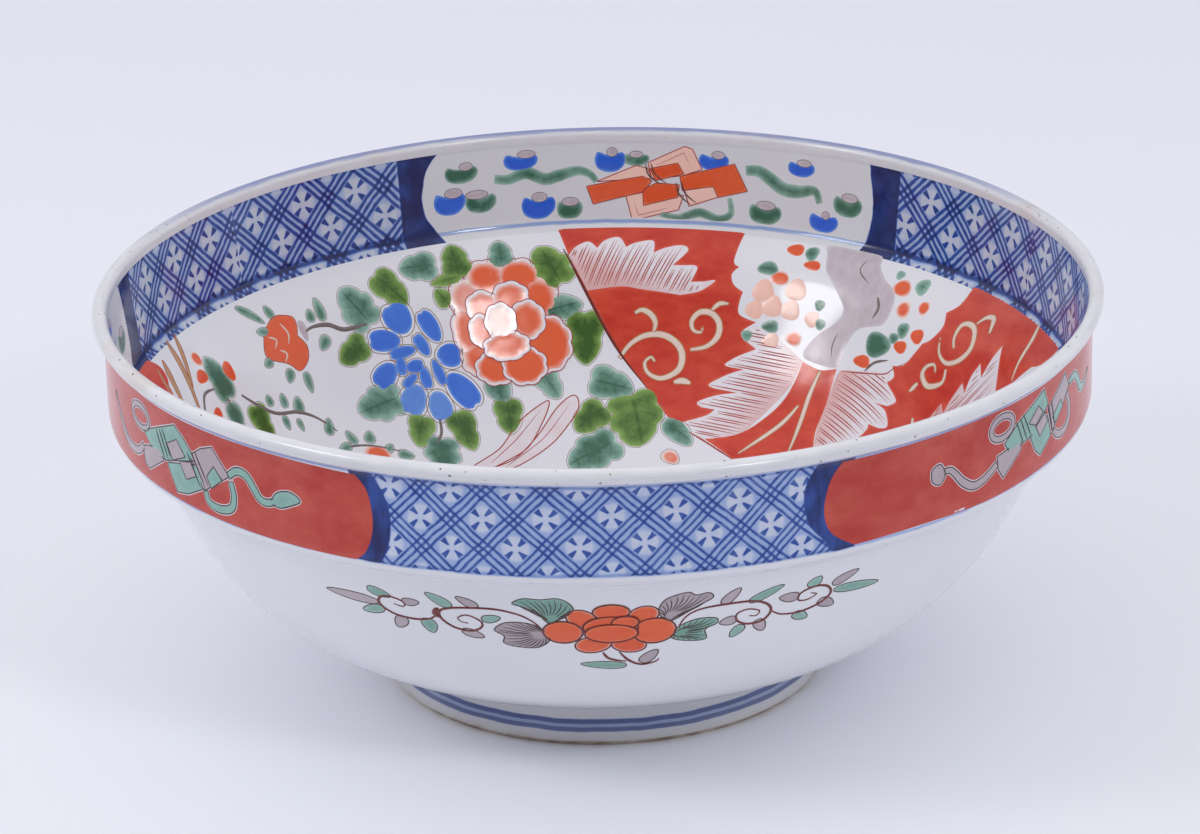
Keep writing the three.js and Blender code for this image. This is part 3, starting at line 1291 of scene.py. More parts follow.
# How each enamel lies. Its colour is the setting of the same name. The thick and rim entries are
# powers of that colour, and deep names another colour that it shades into.
COMMON = {
    "thick": 1.6, "deep": None, "tone": 0.3, "middle": 0.0, "rise": 0.07, "rim": 1.5, "rim_width": 0.35,
    "rim_strength": 0.25, "grain": 0.5, "scale": 0.4, "stretch": (1, 1, 1), "roughness": 0.15,
    "tone_from": None,
}
RED = {**COMMON, "slot": "red_enamel"}
GREEN = {**COMMON, "slot": "green_enamel", "grain": 0.9}
LILAC = {**COMMON, "slot": "lilac_enamel"}
GILT = {**COMMON, "slot": "worn_gilt"}
GROUND = {**RED, "rise": 0.05, "grain": 2.4, "scale": 0.12, "stretch": (1, 1, 2.2), "tone": 0.4}
LEAF = {
    **GREEN, "middle": 0.7, "tone": 0.1, "rim": 0.6, "rim_width": 0.7, "rim_strength": 0.5,
    "tone_from": leaf_veins, "grain": 1.7, "scale": 0.2,
}
PETAL = {
    **COMMON, "slot": "blue_enamel", "rise": 0.12, "tone": 0.25, "grain": 0.9, "scale": 0.25, "thick": 1.4,
    "rim": 0.6, "rim_width": 0.8, "rim_strength": 0.5,
}
LINE = {**COMMON, "slot": "dark_enamel", "tone": 0.5, "rim_strength": 0.0, "grain": 0.9, "scale": 0.8}
RED_LINE = {**LINE, "slot": "red_enamel"}
PAINTS = {
    "panel_red": {**GROUND, "thick": 1.5, "scale": 0.09, "stretch": (1, 1, 1.5), "tone": 0.6},
    "ground_red": {**GROUND, "rim": 0.7, "rim_width": 0.9, "rim_strength": 0.3},
    "blush": {
        **GROUND, "deep": "reserve", "rise": 0.02, "tone": 0.0, "rim": 1.0, "grain": 0.8,
        "tone_from": tip_fade,
    },
    "orange": {
        **RED, "tone": 0.25, "thick": 1.4, "rim": 0.6, "rim_width": 0.5, "rim_strength": 0.5, "grain": 0.8,
    },
    "coral": {
        **RED, "deep": "orange", "tone": 0.0, "grain": 0.6, "scale": 0.3, "rim": 0.7,
        "tone_from": petal_fade,
    },
    "peach": {**RED, "tone": 0.2},
    "red_line": RED_LINE,
    "rose_line": RED_LINE,
    "dark_red": LINE,
    "umber": LINE,
    "fawn": LINE,
    "twig": LINE,
    "leaf_green": {**LEAF, "thick": 2.1},
    "sea_green": {**LEAF, "thick": 2.4},
    "teal": {**GREEN, "middle": 0.25},
    "sage": {**GREEN, "middle": 0.35, "rim": 0.5, "rim_width": 0.6},
    "lilac": {**LILAC, "grain": 0.8},
    "rock": {
        **LILAC, "grain": 1.6, "scale": 0.22, "stretch": (1.8, 1.8, 0.5), "rim": 0.6, "rim_width": 1.0,
    },
    "blue": PETAL,
    "pale_blue": PETAL,
    "reserve": {**GILT, "rise": 0.03, "tone": 0.1},
    "cream": {**GILT, "tone": 0.2, "grain": 0.9, "scale": 0.6, "roughness": 0.3},
    "ochre": {**GILT, "tone": 0.3, "grain": 0.9},
}


def paint_material(name):
    """The finish of an enamel, made the first time that a piece asks for it."""
    if name in bpy.data.materials:
        return bpy.data.materials[name]
    paint = PAINTS[name]
    colors = bpy.context.scene.bowl_paint
    color = getattr(colors, name)
    deep = (*getattr(colors, paint["deep"]), 1) if paint["deep"] else shade_of(color, paint["thick"])

    def outcome(wiring, position):
        at = place_fields(wiring, position)
        tone, edge = (
            Field(wiring, wiring.new("ShaderNodeAttribute", attribute_name=label).outputs["Fac"])
            for label in ("tone", "edge")
        )
        tone = tone + paint["tone"]
        if paint["tone_from"]:
            mapped = wiring.new("ShaderNodeUVMap", uv_map="Paint").outputs[0]
            tone = tone + paint["tone_from"](*split(wiring, mapped)[:2])
        place = wiring.new("ShaderNodeMapping", {"Vector": at["Millimetres"], "Scale": paint["stretch"]})
        return use_group(wiring, "Enamel body", {
            "Thin": (*color, 1),
            "Thick": deep,
            "Rim": shade_of(color, paint["rim"]),
            "Tone": tone,
            "Edge": edge,
            "Middle": paint["middle"],
            "Rim Width": paint["rim_width"],
            "Rim Strength": paint["rim_strength"],
            "Grain Place": place.outputs[0],
            "Grain": paint["grain"],
            "Grain Scale": paint["scale"],
            "Roughness": paint["roughness"],
        })

    return linked_material(name, outcome)


class Paintbox:
    """The enamels and brushes of one group of drawings on a chart. Each colour makes one piece."""

    def __init__(self, chart, group):
        self.chart = chart
        self.group = group
        self.shift = 0.0
        self.enamels = {}
        self.brushes = {}

    def enamel(self, name):
        if name not in self.enamels:
            self.enamels[name] = Enamel(self, PAINTS[name]["rise"])
        return self.enamels[name]

    def brush(self, name):
        if name not in self.brushes:
            self.brushes[name] = Brushwork(self)
        return self.brushes[name]

    def outlined(self, name, outline, line, width, base=0.0, holes=(), inset=0.0, **options):
        """A patch with a brush line round each of its edges, or a little outside them."""
        self.enamel(name).patch(spread(self.chart, outline, -inset), holes, base=base, **options)
        for edge in (outline, *holes):
            self.brush(line).line(edge, width, closed=True, smooth=False, base=base + outline_lift)

    def pieces(self):
        for pots, kind in ((self.enamels, "enamel"), (self.brushes, "line")):
            for name, pot in pots.items():
                pot.piece(f"{self.group}_{name}_{kind}", paint_material(name), PAINTS[name]["slot"])


# Shapes that the drawings share


def angular(*corners):
    """An outline with straight edges."""
    return runs(corners[0], *[[corner] for corner in corners[1:]], [corners[0]])


def span(chart, start, tip):
    """The millimetres and the direction in degrees from one place on a chart to another."""
    across = (tip[0] - start[0]) * chart.scale((start[1] + tip[1]) / 2)
    along = tip[1] - start[1]
    return math.hypot(across, along), math.degrees(math.atan2(along, across))


def ribbon(chart, places, width, start, end):
    """The outline of a band that follows a smooth line and narrows to a share of its width at each end."""
    scale = chart.mean_scale(places)
    path = rounded(places, False, 0.8, scale) * (scale, 1)
    share = np.linspace(0, 1, len(path))
    swell = np.minimum(start + (1 - start) * share / 0.3, end + (1 - end) * (1 - share) / 0.4)
    tangent = np.gradient(path, axis=0)
    tangent /= np.linalg.norm(tangent, axis=1)[:, None]
    side = np.stack([-tangent[:, 1], tangent[:, 0]], 1) * (np.minimum(1, swell) * width / 2)[:, None]
    return np.vstack([path + side, (path - side)[::-1]]) / (scale, 1)


# One side of a leaf from its stem to its tip, in shares of its length and width, by its number of lobes
LEAF_SIDES = {
    1: (((0, 0), (0.02, 0.24), (0.2, 0.46), (0.5, 0.48), (0.8, 0.32), (0.96, 0.13), (1, 0)),),
    3: (
        ((0, 0), (-0.04, 0.2), (0.06, 0.44), (0.3, 0.51), (0.5, 0.41)),
        ((0.5, 0.41), (0.62, 0.43), (0.82, 0.31), (0.96, 0.13), (1, 0)),
    ),
    5: (
        ((0, 0), (-0.06, 0.18), (0.0, 0.4), (0.14, 0.49), (0.26, 0.42)),
        ((0.26, 0.42), (0.36, 0.5), (0.54, 0.5), (0.64, 0.38)),
        ((0.64, 0.38), (0.76, 0.36), (0.93, 0.2), (1, 0)),
    ),
}


def leaf_shape(length, width, lobes=1, bend=0.0):
    """A leaf in millimetres along +x from its stem, with one, three or five soft lobes."""
    side = [np.array(run, float) * (length, width) for run in LEAF_SIDES[lobes]]
    other = [run[::-1] * (1, -1) for run in side[::-1]]
    line = runs((0, 0), *[run[1:] for run in (*side, *other)])
    line[:, 1] += bend * length * (line[:, 0] / length) ** 2
    return line


def leaf(box, name, start, tip, width, lobes=1, bend=0.0, line="fawn", line_width=0.2, **options):
    """A leaf from the place of its stem to the place of its tip."""
    length, degrees = span(box.chart, start, tip)
    shape = turned_flat(leaf_shape(length, width, lobes, bend), degrees)
    middle = ((start[0] + tip[0]) / 2, (start[1] + tip[1]) / 2)
    options.setdefault("grain", (middle, degrees, length / 2, width / 2))
    options.setdefault("inset", min(0.3, width * 0.05))
    box.outlined(name, on_chart(box.chart, start, shape), line, line_width, **options)


def leaf_round(box, name, middle, length, width, degrees, **options):
    """A leaf about its middle, with its tip in a direction."""
    angle = math.radians(degrees)
    half = length / 2 * np.array([math.cos(angle) / box.chart.scale(middle[1]), math.sin(angle)])
    leaf(box, name, tuple(middle - half), tuple(middle + half), width, **options)


def petal(length, width):
    """A petal in millimetres about its middle, narrow at its root on the left and notched at its end."""
    half = [(-0.5, 0.12), (-0.34, 0.36), (0.0, 0.5), (0.34, 0.43), (0.49, 0.18)]
    places = [*half, (0.5 - petal_notch, 0), *[(x, -y) for x, y in half[::-1]]]
    return rounded(np.array(places) * (length, width), True)


def hatch(box, outline, degrees, gap, bow):
    """Fine rose lines in one direction, straight or a little bowed, kept inside an outline."""
    scale = box.chart.mean_scale(outline)
    flat = outline * (scale, 1)
    middle = (flat.min(axis=0) + flat.max(axis=0)) / 2
    half = float(np.linalg.norm(flat.max(axis=0) - flat.min(axis=0))) / 2
    along = np.arange(-half, half, 0.7)
    for number, offset in enumerate(np.arange(-half, half, gap)):
        shaken = offset + gap * 0.22 * math.sin(number * 2.7)
        bowed = shaken + bow * (along / half) ** 2 * half
        line = turned_flat(np.stack([along, bowed], 1), degrees, middle)
        margin = hatch_margin * (1 + number % 3 * 0.9)
        clear = inside([flat], line) & (depth_from([flat], line) > margin)
        for run in np.split(np.arange(len(line)), np.where(np.diff(clear.astype(int)))[0] + 1):
            if clear[run[0]] and len(run) > 2:
                places = line[run] / (scale, 1)
                box.brush("rose_line").line(places, hatch_width, smooth=False, base=hatch_lift)


# The outside of the collar


def red_panels():
    """Brushed iron-red panels between the lattices, each with a ribboned emblem."""
    box = Paintbox(OUTER_COLLAR, "collar")
    outline = runs(
        (26.6, 24.6),
        [(25.0, 20), (24.3, 13), (25.2, 7.5), (28, 3.4)],
        [(37, 3.7), (48, 3.0), (64, 3.2), (80, 2.9), (92.3, 2.8)],
        [(93.7, 5.5), (94.6, 12), (94.1, 20), (92.6, 24.0)],
        [(80, 24.5), (60, 24.2), (45, 24.7), (26.6, 24.6)],
    )
    for shift in THIRDS:
        box.shift = shift
        box.enamel("panel_red").patch(outline)
    box.shift = THIRDS[0]
    right_emblem(box)
    left_emblem(box)
    box.shift = THIRDS[-1]
    left_emblem(box)
    box.pieces()


def emblem_part(box, name, outline, level=0, holes=()):
    """A part of an emblem with a dark outline, and round it the pale edge of its reserve."""
    lift = PAINTS["panel_red"]["rise"]
    if level == 0:
        gaps = [spread(box.chart, hole, -reserve_margin) for hole in holes]
        box.enamel("reserve").patch(spread(box.chart, outline, reserve_margin), gaps, base=lift)
    base = lift + sheet_lift + level * sheet_step
    box.outlined(name, outline, "umber", emblem_line, base=base, holes=holes)


def emblem_ring(box, centre, width, height, thickness):
    outer = on_chart(box.chart, centre, oval((width, height), points=40))
    hole = on_chart(box.chart, centre, oval((width - 2 * thickness, height - 2 * thickness), points=32))
    emblem_part(box, "lilac", outer, holes=[hole])


def emblem_sheets(box, *sheets):
    """Straight-edged sheets of paper: the colour, 1 where a sheet lies on another, and the corners."""
    for name, level, *corners in sheets:
        emblem_part(box, name, angular(*corners), level)


def emblem_ties(box, *lines):
    for line in lines:
        box.brush("umber").line(line, emblem_line, base=0.24)


def left_emblem(box):
    """Two folded sheets tied together, with a ring, a loop and a ribbon that ends in a bud."""
    tail = [(-63, 11.3), (-64.8, 8.7), (-67.5, 8.2), (-69.8, 10.3), (-71.2, 13.5), (-73, 18)]
    loop = [(-49.3, 9), (-48.7, 6.5), (-46.8, 5.9), (-44.9, 7.3), (-44.4, 10.5), (-44.8, 14)]
    band = [(-45.2, 15.2), (-43.8, 17.2), (-42.3, 16.9), (-41.2, 14.4), (-40.3, 12.2), (-39.2, 11.8),
            (-38.2, 12.6)]
    bud = [(-38.6, 12.2), (-37.8, 15.0), (-35.9, 16.1), (-34.5, 14.4), (-35.9, 12.6), (-37.4, 11.4)]
    emblem_ring(box, (-63.6, 18.4), 11.6, 7.0, 1.5)
    emblem_part(box, "lilac", ribbon(box.chart, tail, 2.0, 0.9, 0.2))
    emblem_sheets(
        box,
        ("lilac", 0, (-63.2, 11.2), (-58.2, 14.4), (-57.9, 10.9), (-61.6, 6.3), (-62.8, 6.9)),
        ("teal", 0, (-62.8, 15.4), (-58.9, 18.8), (-55, 22), (-53.4, 20.1), (-50.8, 15.6), (-57.4, 11.4),
         (-60.8, 12.4)),
        ("teal", 0, (-57, 11.2), (-50.6, 14.8), (-49.5, 9.4), (-52.7, 6.0), (-55, 5.0)),
        ("lilac", 0, (-52, 16.4), (-49.9, 19.3), (-47.8, 20.9), (-45, 15.1), (-49.6, 8.8)),
        ("lilac", 1, (-56.8, 16.2), (-54.6, 18.6), (-52.9, 15.2), (-55.6, 12.7)),
        ("lilac", 1, (-54.2, 13.4), (-51.9, 14.6), (-50.9, 11.6), (-52.9, 9.6)),
        ("teal", 1, (-48.9, 13.0), (-47.6, 16.2), (-46.2, 13.4), (-48.2, 10.3)),
    )
    emblem_part(box, "teal", ribbon(box.chart, loop, 2.0, 0.8, 0.8))
    emblem_part(box, "teal", ribbon(box.chart, band, 2.1, 0.8, 0.8))
    emblem_part(box, "teal", rounded(bud, True))
    emblem_ties(
        box,
        [(-59.3, 18.2), (-57.3, 11.2)], [(-58.5, 18.8), (-56.5, 11.8)], [(-57.8, 19.4), (-55.9, 12.4)],
        [(-52.5, 16.8), (-50.1, 9.2)], [(-51.7, 17.4), (-49.3, 9.9)], [(-51.0, 18.0), (-48.7, 10.6)],
    )


def right_emblem(box):
    """The same emblem turned about, with a ribbon that ends in a knot."""
    stem = [(49, 11.2), (46.8, 9), (44.9, 8.5), (43.2, 10.5), (42, 13.2), (41.1, 14.8), (40.2, 14.9)]
    knot = [(40.3, 15.2), (39.6, 17.2), (38.4, 16.2), (38.5, 13.2), (39.6, 12.1), (40.4, 13.8)]
    loop = [(61.7, 10.5), (62.9, 8.6), (64.8, 8.1), (66.4, 9.7), (66.6, 13.6), (65.7, 17)]
    band = [(66.6, 19.2), (68.7, 19.2), (70.2, 17), (71.2, 14.4), (73, 13.4), (76, 15.4)]
    emblem_ring(box, (50, 19.7), 10.4, 7.0, 1.6)
    emblem_part(box, "lilac", ribbon(box.chart, stem, 2.0, 0.9, 0.7))
    emblem_part(box, "lilac", rounded(knot, True))
    emblem_sheets(
        box,
        ("lilac", 0, (49, 13), (53.9, 14.3), (53.7, 11.6), (50.2, 6.8), (49.2, 9.7)),
        ("teal", 0, (50.4, 15.2), (53.1, 18.8), (59, 23), (60.1, 18.6), (56.6, 13.4), (51.5, 12.2)),
        ("teal", 0, (55.4, 14.4), (60, 15.6), (60.9, 10.1), (58.2, 6.8), (57, 8.8)),
        ("lilac", 0, (60.1, 17.2), (62.5, 19.7), (65.2, 22.6), (66.4, 18.6), (64.6, 15.4), (61.3, 10.5)),
        ("lilac", 1, (55.4, 16.8), (57.6, 19.8), (58.7, 17.6), (57, 15.3)),
        ("lilac", 1, (57, 14.9), (59.3, 17.1), (59.9, 14.2), (58, 11.8)),
        ("teal", 1, (61.3, 14.3), (63.6, 16.9), (64.4, 14.8), (62.1, 12.2)),
    )
    emblem_part(box, "lilac", ribbon(box.chart, loop, 2.0, 0.8, 0.8))
    emblem_part(box, "teal", ribbon(box.chart, band, 2.1, 0.8, 0.3))
    emblem_ties(
        box,
        [(52.7, 19.2), (54.3, 12.4)], [(53.5, 19.6), (55.1, 12.8)], [(54.2, 20), (55.9, 13.4)],
        [(60.1, 18.4), (61.3, 10.6)], [(60.9, 18.8), (62, 11.2)],
    )


# The outside of the wall


def wall_sprays():
    """An orange peony between scrolling vines, three times round the wall."""
    box = Paintbox(OUTER_WALL, "spray")
    for shift in THIRDS:
        box.shift = shift
        spray_leaves(box)
        spray_vines(box)
        spray_peony(box)
    box.pieces()


def spray_peony(box):
    """Round orange petals in layers, each with a dark red outline and a thin white gap inside it."""
    for level, x, y, width, height, degrees in (
        (0, -2.9, 12.8, 7.6, 6.2, 40), (0, 4.6, 12.0, 7.4, 6.4, -35), (1, 0.7, 10.4, 8.6, 5.8, 0),
        (1, -5.3, 17.7, 9.2, 8.0, 0), (1, 6.0, 17.9, 10.2, 9.2, 0), (0, -1.6, 22.4, 8.6, 6.0, -15),
        (0, 2.9, 22.8, 8.2, 5.6, 12), (2, 0.6, 16.0, 12.8, 8.0, 0), (3, 2.4, 14.2, 6.4, 4.6, 0),
        (4, 0.7, 18.0, 12.4, 6.6, 0),
    ):
        placed = on_chart(box.chart, (x, y), oval((width, height), degrees, 32))
        tone = 0.2 * math.sin(x * 5)
        box.outlined("orange", placed, "dark_red", 0.5, base=level * layer_step, inset=0.35, tone=tone)


def spray_vines(box):
    """Dark red vines that curl up on themselves, and two short tendrils below the peony."""
    for curl in (
        ((-7.9, 16.7), (-8.8, 14.2), (-10.5, 11.7), (-13.2, 10.2), (-16.3, 10.4), (-19, 11.3), (-20.5, 12.9),
         (-20.5, 15.8), (-19, 18.5), (-16.8, 19), (-15.4, 17.1), (-15.5, 15), (-17, 13.3), (-18.3, 14.6),
         (-18, 16), (-17.1, 16.3)),
        ((-20.8, 13.8), (-22.1, 16.3), (-24.4, 17.3), (-27, 16.7), (-28.6, 14.2), (-28.5, 11.7),
         (-27.3, 10.2), (-25.7, 10.7), (-25, 12.1), (-25.5, 13.3), (-26.6, 12.7)),
        ((9.1, 16.7), (10, 13.3), (11.8, 11.3), (14.9, 10.7), (18, 11), (20, 12.9), (20.8, 15.8), (20, 18.8),
         (18, 19.3), (16.5, 17.5), (16.3, 15), (17.6, 13.8), (19.2, 15), (18.9, 16.7), (18, 16.3)),
        ((20.8, 15.8), (22.5, 17.9), (25.2, 18.3), (27.6, 16.7), (28.8, 13.8), (27.9, 10.8), (26.1, 9.8),
         (24.3, 11.3), (24.3, 13.8), (25.6, 14.3), (26.7, 12.9), (25.8, 12.1)),
        ((-0.4, 25.4), (0.4, 27.9), (2.6, 29.3)),
        ((1.7, 25.4), (2.9, 28.8), (4.6, 30.8), (6.4, 30), (6.9, 28.8)),
    ):
        box.brush("dark_red").line(curl, 0.8, 0.5, 0.4, base=0.05)
    box.brush("dark_red").line([(-20.6, 11.8), (-21.2, 14.0), (-20.4, 15.6)], 1.7, base=0.06)


def spray_leaves(box):
    """Veined leaves beside the peony, and a few small ones along the vines."""
    for name, places, root in (
        ("sage", ((-11, 7.5), (-9.6, 5.4), (-7.6, 5.6), (-5.6, 5), (-4.3, 6.7), (-3.8, 9.6), (-5.2, 12),
                  (-6.5, 14.6), (-7.4, 13.4), (-8.1, 10.6), (-9.6, 8.8)), (-6.6, 14.2)),
        ("lilac", ((-13.9, 17.9), (-12.3, 15), (-9.6, 14.8), (-7.9, 16.7), (-7, 20.4), (-8.6, 23.6),
                   (-11.2, 23.8), (-13, 22.6), (-12.8, 20)), (-7.4, 18.8)),
        ("lilac", ((6.4, 10.4), (7.2, 6.4), (9.6, 4.4), (10.7, 5.8), (12.2, 5.4), (12.8, 7.5),
                   (10.9, 10.4), (8.2, 14.6), (7, 13.8)), (7.6, 14)),
        ("sage", ((8.2, 20.8), (9.1, 17.1), (11.3, 15), (13.6, 15.4), (13.9, 17.4), (12.5, 19.2),
                  (12.7, 22.8), (10, 22.6)), (8.8, 19.6)),
    ):
        outline = rounded(places, True, scale=box.chart.scale(14))
        box.outlined(name, outline, "umber", 0.4, tone=0.2)
        for place in outline[1::3]:
            share = np.array([0.3, 0.65, 0.94])[:, None]
            path = np.array(root) + (place - np.array(root)) * share
            path[1] += 0.25
            box.brush("umber").line(path, 0.34, base=0.08)
    for name, start, tip, width in (
        ("sage", (-29.6, 8.4), (-26.6, 10.2), 3.4), ("lilac", (-25.2, 11.4), (-22.9, 10.6), 2.8),
        ("lilac", (-28.9, 13.2), (-36.4, 12.6), 3.4), ("sage", (-28.4, 15.2), (-31.8, 17.6), 3.0),
        ("lilac", (-25.8, 17.2), (-27.4, 21.6), 3.4), ("sage", (-22.6, 16.4), (-22.4, 21.6), 4.0),
        ("sage", (-18.8, 10.8), (-21.6, 6.4), 3.4), ("lilac", (-15.4, 10), (-17.8, 6.6), 3.0),
        ("sage", (-15.2, 14.6), (-12.8, 13.2), 2.8), ("lilac", (-18.2, 19.2), (-15.4, 21), 3.0),
        ("lilac", (14.2, 10.6), (16.0, 5.0), 3.0), ("sage", (17.6, 11.2), (21.6, 6.6), 3.0),
        ("sage", (25.4, 9.8), (26.4, 6.2), 3.6), ("lilac", (28.6, 10.6), (31.8, 7.2), 3.4),
        ("sage", (29.2, 12.8), (36.2, 14.6), 3.2), ("lilac", (24.2, 12.6), (21.5, 11.4), 3.4),
        ("lilac", (27.4, 15.6), (29.9, 18.6), 3.2), ("sage", (24.2, 18.6), (26.4, 21.2), 3.0),
        ("sage", (17.4, 19.4), (16.0, 23.4), 3.0), ("lilac", (19.2, 18.4), (20.4, 22.8), 3.0),
        ("lilac", (16.4, 16.8), (14.2, 17.6), 3.2), ("sage", (2.6, 31.0), (-3.4, 30.0), 3.0),
        ("lilac", (4.6, 30.0), (6.6, 25.2), 3.2),
    ):
        leaf(box, name, start, tip, width, line="umber", line_width=0.34, tone=0.15 * math.sin(tip[0] * 3))


# The inside of the collar


def cartouches():
    """Tied books between blue and green fruit, on each white panel inside the collar."""
    box = Paintbox(INNER_COLLAR, "cartouche")
    for shift in THIRDS:
        box.shift = shift
        for name, *fruits in (
            ("blue", (-19.3, 8.6, 8.9, 6.2, 0.6, 5.0), (-9.6, 18.1, 9.3, 4.6, 0.8, 5.0),
             (-7.5, 5.2, 9.2, 6.3, 0.2, 4.2), (2.0, 17.2, 8.3, 5.8, 0.3, 2.9),
             (15.5, 17.6, 8.3, 4.6, 0.6, 3.6), (27.4, 18.0, 7.8, 4.0, 0.4, 4.2),
             (30.9, 4.2, 8.6, 5.0, 0.3, 2.2)),
            ("sea_green", (-17.5, 16.2, 9.3, 4.8, 0.7, 3.8), (-15.1, 7.8, 8.6, 5.4, -0.5, 6.4),
             (-3.4, 4.0, 7.0, 5.2, 0.1, 4.6), (5.4, 17.6, 7.0, 3.4, 0.0, 3.7),
             (22.6, 4.4, 9.3, 5.6, 0.1, 5.4), (34.3, 9.8, 8.9, 5.6, 0.3, 5.0)),
        ):
            for row in fruits:
                fruit(box, name, *row)
        for places, width in (
            (((-13.1, 14), (-11.3, 13.5), (-8.9, 14.9), (-6.5, 12.9), (-4.6, 13.7), (-2.2, 14.8),
              (-0.6, 13.7), (0.2, 11.6)), 3.4),
            (((19.8, 16), (21.6, 16.1), (23.2, 14.3), (25, 12), (27.2, 11.8), (29.4, 12.6),
              (30.2, 9.4)), 3.8),
            (((8.5, 2.8), (10.9, 1.5), (13.7, 3.4), (16.1, 1.9), (17.9, 3.6), (17.7, 8)), 2.6),
        ):
            box.enamel("sea_green").patch(ribbon(box.chart, places, width, 0.7, 0.5), tone=0.2)
        tied_books(box)
    box.pieces()


def fruit(box, name, x, y, width, height, cap, cap_width):
    """A cup of colour with a small grey cap in its top."""
    cup = np.array([(-0.5, 0.1), (-0.42, -0.3), (-0.15, -0.5), (0.2, -0.48), (0.45, -0.2), (0.52, 0.15),
                    (0.42, 0.42), (0.2, 0.36), (0, 0.28), (-0.2, 0.36), (-0.4, 0.45)])
    box.enamel(name).patch(on_chart(box.chart, (x, y), rounded(cup * (width, height), True)), tone=0.5)
    lid = oval((cap_width, 0.3 * height + 0.8))
    placed = on_chart(box.chart, (x + cap, y + 0.44 * height), lid)
    box.outlined("rock", placed, "twig", 0.2, base=0.09, tone=0.4)


def tied_books(box):
    """Orange books laid over paler ones and tied with cord."""
    for name, level, *books in (
        ("peach", 0,
         ((0.2, 11.6), (5.4, 16.0), (6.9, 15.2), (7.4, 12.4)),
         ((6.9, 16.8), (11.7, 21.6), (12.7, 20.9), (14.0, 15.4), (11.4, 13.4), (7.4, 12.4)),
         ((4, 7.6), (4.8, 0.6), (10.9, 3.9), (11.6, 8), (6.4, 8.6)),
         ((11.7, 9.4), (15.5, 10.9), (16.4, 8.2), (12.3, 5.0))),
        ("orange", 1,
         ((-1.1, 10.4), (-0.3, 5.4), (6.3, 8.7), (7.4, 11.8), (6.2, 13.0)),
         ((7.2, 15.2), (10.8, 16.9), (11.6, 14.0), (7.9, 11.9)),
         ((6.2, 9.4), (6.3, 4.9), (10.8, 7.4), (11.0, 10.9), (8, 11.2)),
         ((11.1, 13.2), (18.3, 17.5), (20.1, 10.3), (16.2, 8.0), (15.5, 10.9), (11.4, 9.4))),
    ):
        for corners in books:
            tone = 0.15 * math.sin(corners[0][0])
            box.outlined(name, angular(*corners), "red_line", 0.3, base=level * layer_step, tone=tone)
    for line in ([(8.0, 16.2), (11.6, 19.8), (12.6, 15.6)], [(5.0, 6.6), (5.6, 2.2), (9.6, 4.4)]):
        box.brush("red_line").line(line, 0.24, smooth=False, base=0.07)
    for line in ([(6.6, 16.6), (7.0, 13.4), (8.6, 10.8)], [(7.3, 16.8), (7.8, 13.8), (9.3, 11.2)],
                 [(10.6, 11.6), (11.0, 8.2), (12.6, 5.4)], [(11.3, 11.8), (11.8, 8.6), (13.3, 6.0)]):
        box.brush("umber").line(line, 0.4, base=0.18)


# The well


LEFT_FINGERS = (
    [(25.3, 33.8)],
    [(22.4, 36.5), (20.6, 39.0), (21.8, 39.6)],
    [(23.9, 39.8)],
    [(21.3, 41.8), (18.5, 45.0), (19.6, 46.0)],
    [(23.7, 46.5)],
    [(20.2, 47.9), (17.1, 50.4), (18.0, 51.8)],
    [(20.5, 52.1)],
)
RIGHT_FINGERS = (
    [(51.3, 35.4), (53.6, 37.9), (52.3, 40.0)],
    [(49.6, 40.4)],
    [(52.3, 41.3), (54.5, 45.0), (52.9, 46.3)],
    [(50.4, 46.3)],
    [(50.7, 48.0), (49.4, 52.0), (45.4, 56.6), (42.3, 57.6)],
)
FLAME_TIPS = (
    [(62.4, 38.0), (63.4, 33.0)],
    [(64.9, 35.0)],
    [(65.1, 31.0), (66.0, 25.5)],
    [(67.6, 27.5)],
    [(67.3, 23.0), (68.0, 18.6)],
    [(69.8, 21.5)],
    [(70.0, 16.0), (70.5, 11.5)],
    [(72.2, 15.5), (75.6, 22.5)],
)
LEFT_GROUND = runs(
    (-5.2, 1.0),
    [(20.2, 1.0)],
    [(19.8, 6.0), (19.6, 10.8), (20.5, 12.0)],
    [(19.6, 14.2), (20.1, 17.0), (21.7, 18.8)],
    [(21.4, 21.7), (21.7, 25.0), (24.5, 26.6)],
    [(22.6, 29.4), (23.3, 31.9)],
    *LEFT_FINGERS,
    [(19.1, 54.2), (14.6, 57.2)],
    [(12.0, 55.0), (7.7, 46.7), (4.4, 40.0), (1.9, 33.3), (-0.2, 25.8), (-2.0, 18.3), (-3.9, 10.0),
     (-5.2, 1.0)],
)
RIGHT_GROUND = runs(
    (57.3, 1.0),
    [(57.5, 7.5), (55.9, 11.3)],
    [(56.6, 15.0), (55.5, 19.2), (54.1, 21.3)],
    [(53.4, 24.2), (52.1, 28.3), (50.0, 29.6)],
    [(51.1, 32.1), (50.2, 34.2)],
    *RIGHT_FINGERS,
    [(40.9, 52.5), (40.5, 45.0), (40.1, 38.3), (40.0, 34.8)],
    [(37.0, 36.2), (33.8, 35.0)],
    [(32.7, 45.0), (30.5, 51.7), (26.7, 57.9), (20.2, 61.4)],
    [(24.5, 64.5), (30.0, 68.0), (37.5, 71.0)],
    [(46.0, 67.0), (54.0, 60.0), (59.0, 52.0), (62.0, 43.0)],
    *FLAME_TIPS,
    [(78.4, 17.0), (80.6, 10.0)],
    [(82.0, 8.3), (82.8, 5.0), (82.0, 1.0)],
    [(57.3, 1.0)],
)
LEFT_FROND = runs(
    (24.5, 27.4),
    [(22.8, 29.6), (23.3, 31.9)],
    *LEFT_FINGERS,
    [(19.1, 54.2), (15.0, 57.0), (16.4, 59.0), (20.0, 61.4)],
    [(25.1, 60.0), (27.8, 56.3), (30.5, 49.2), (32.7, 42.5), (33.8, 35.0)],
    [(30.6, 32.0), (27.4, 29.0), (24.5, 27.4)],
)
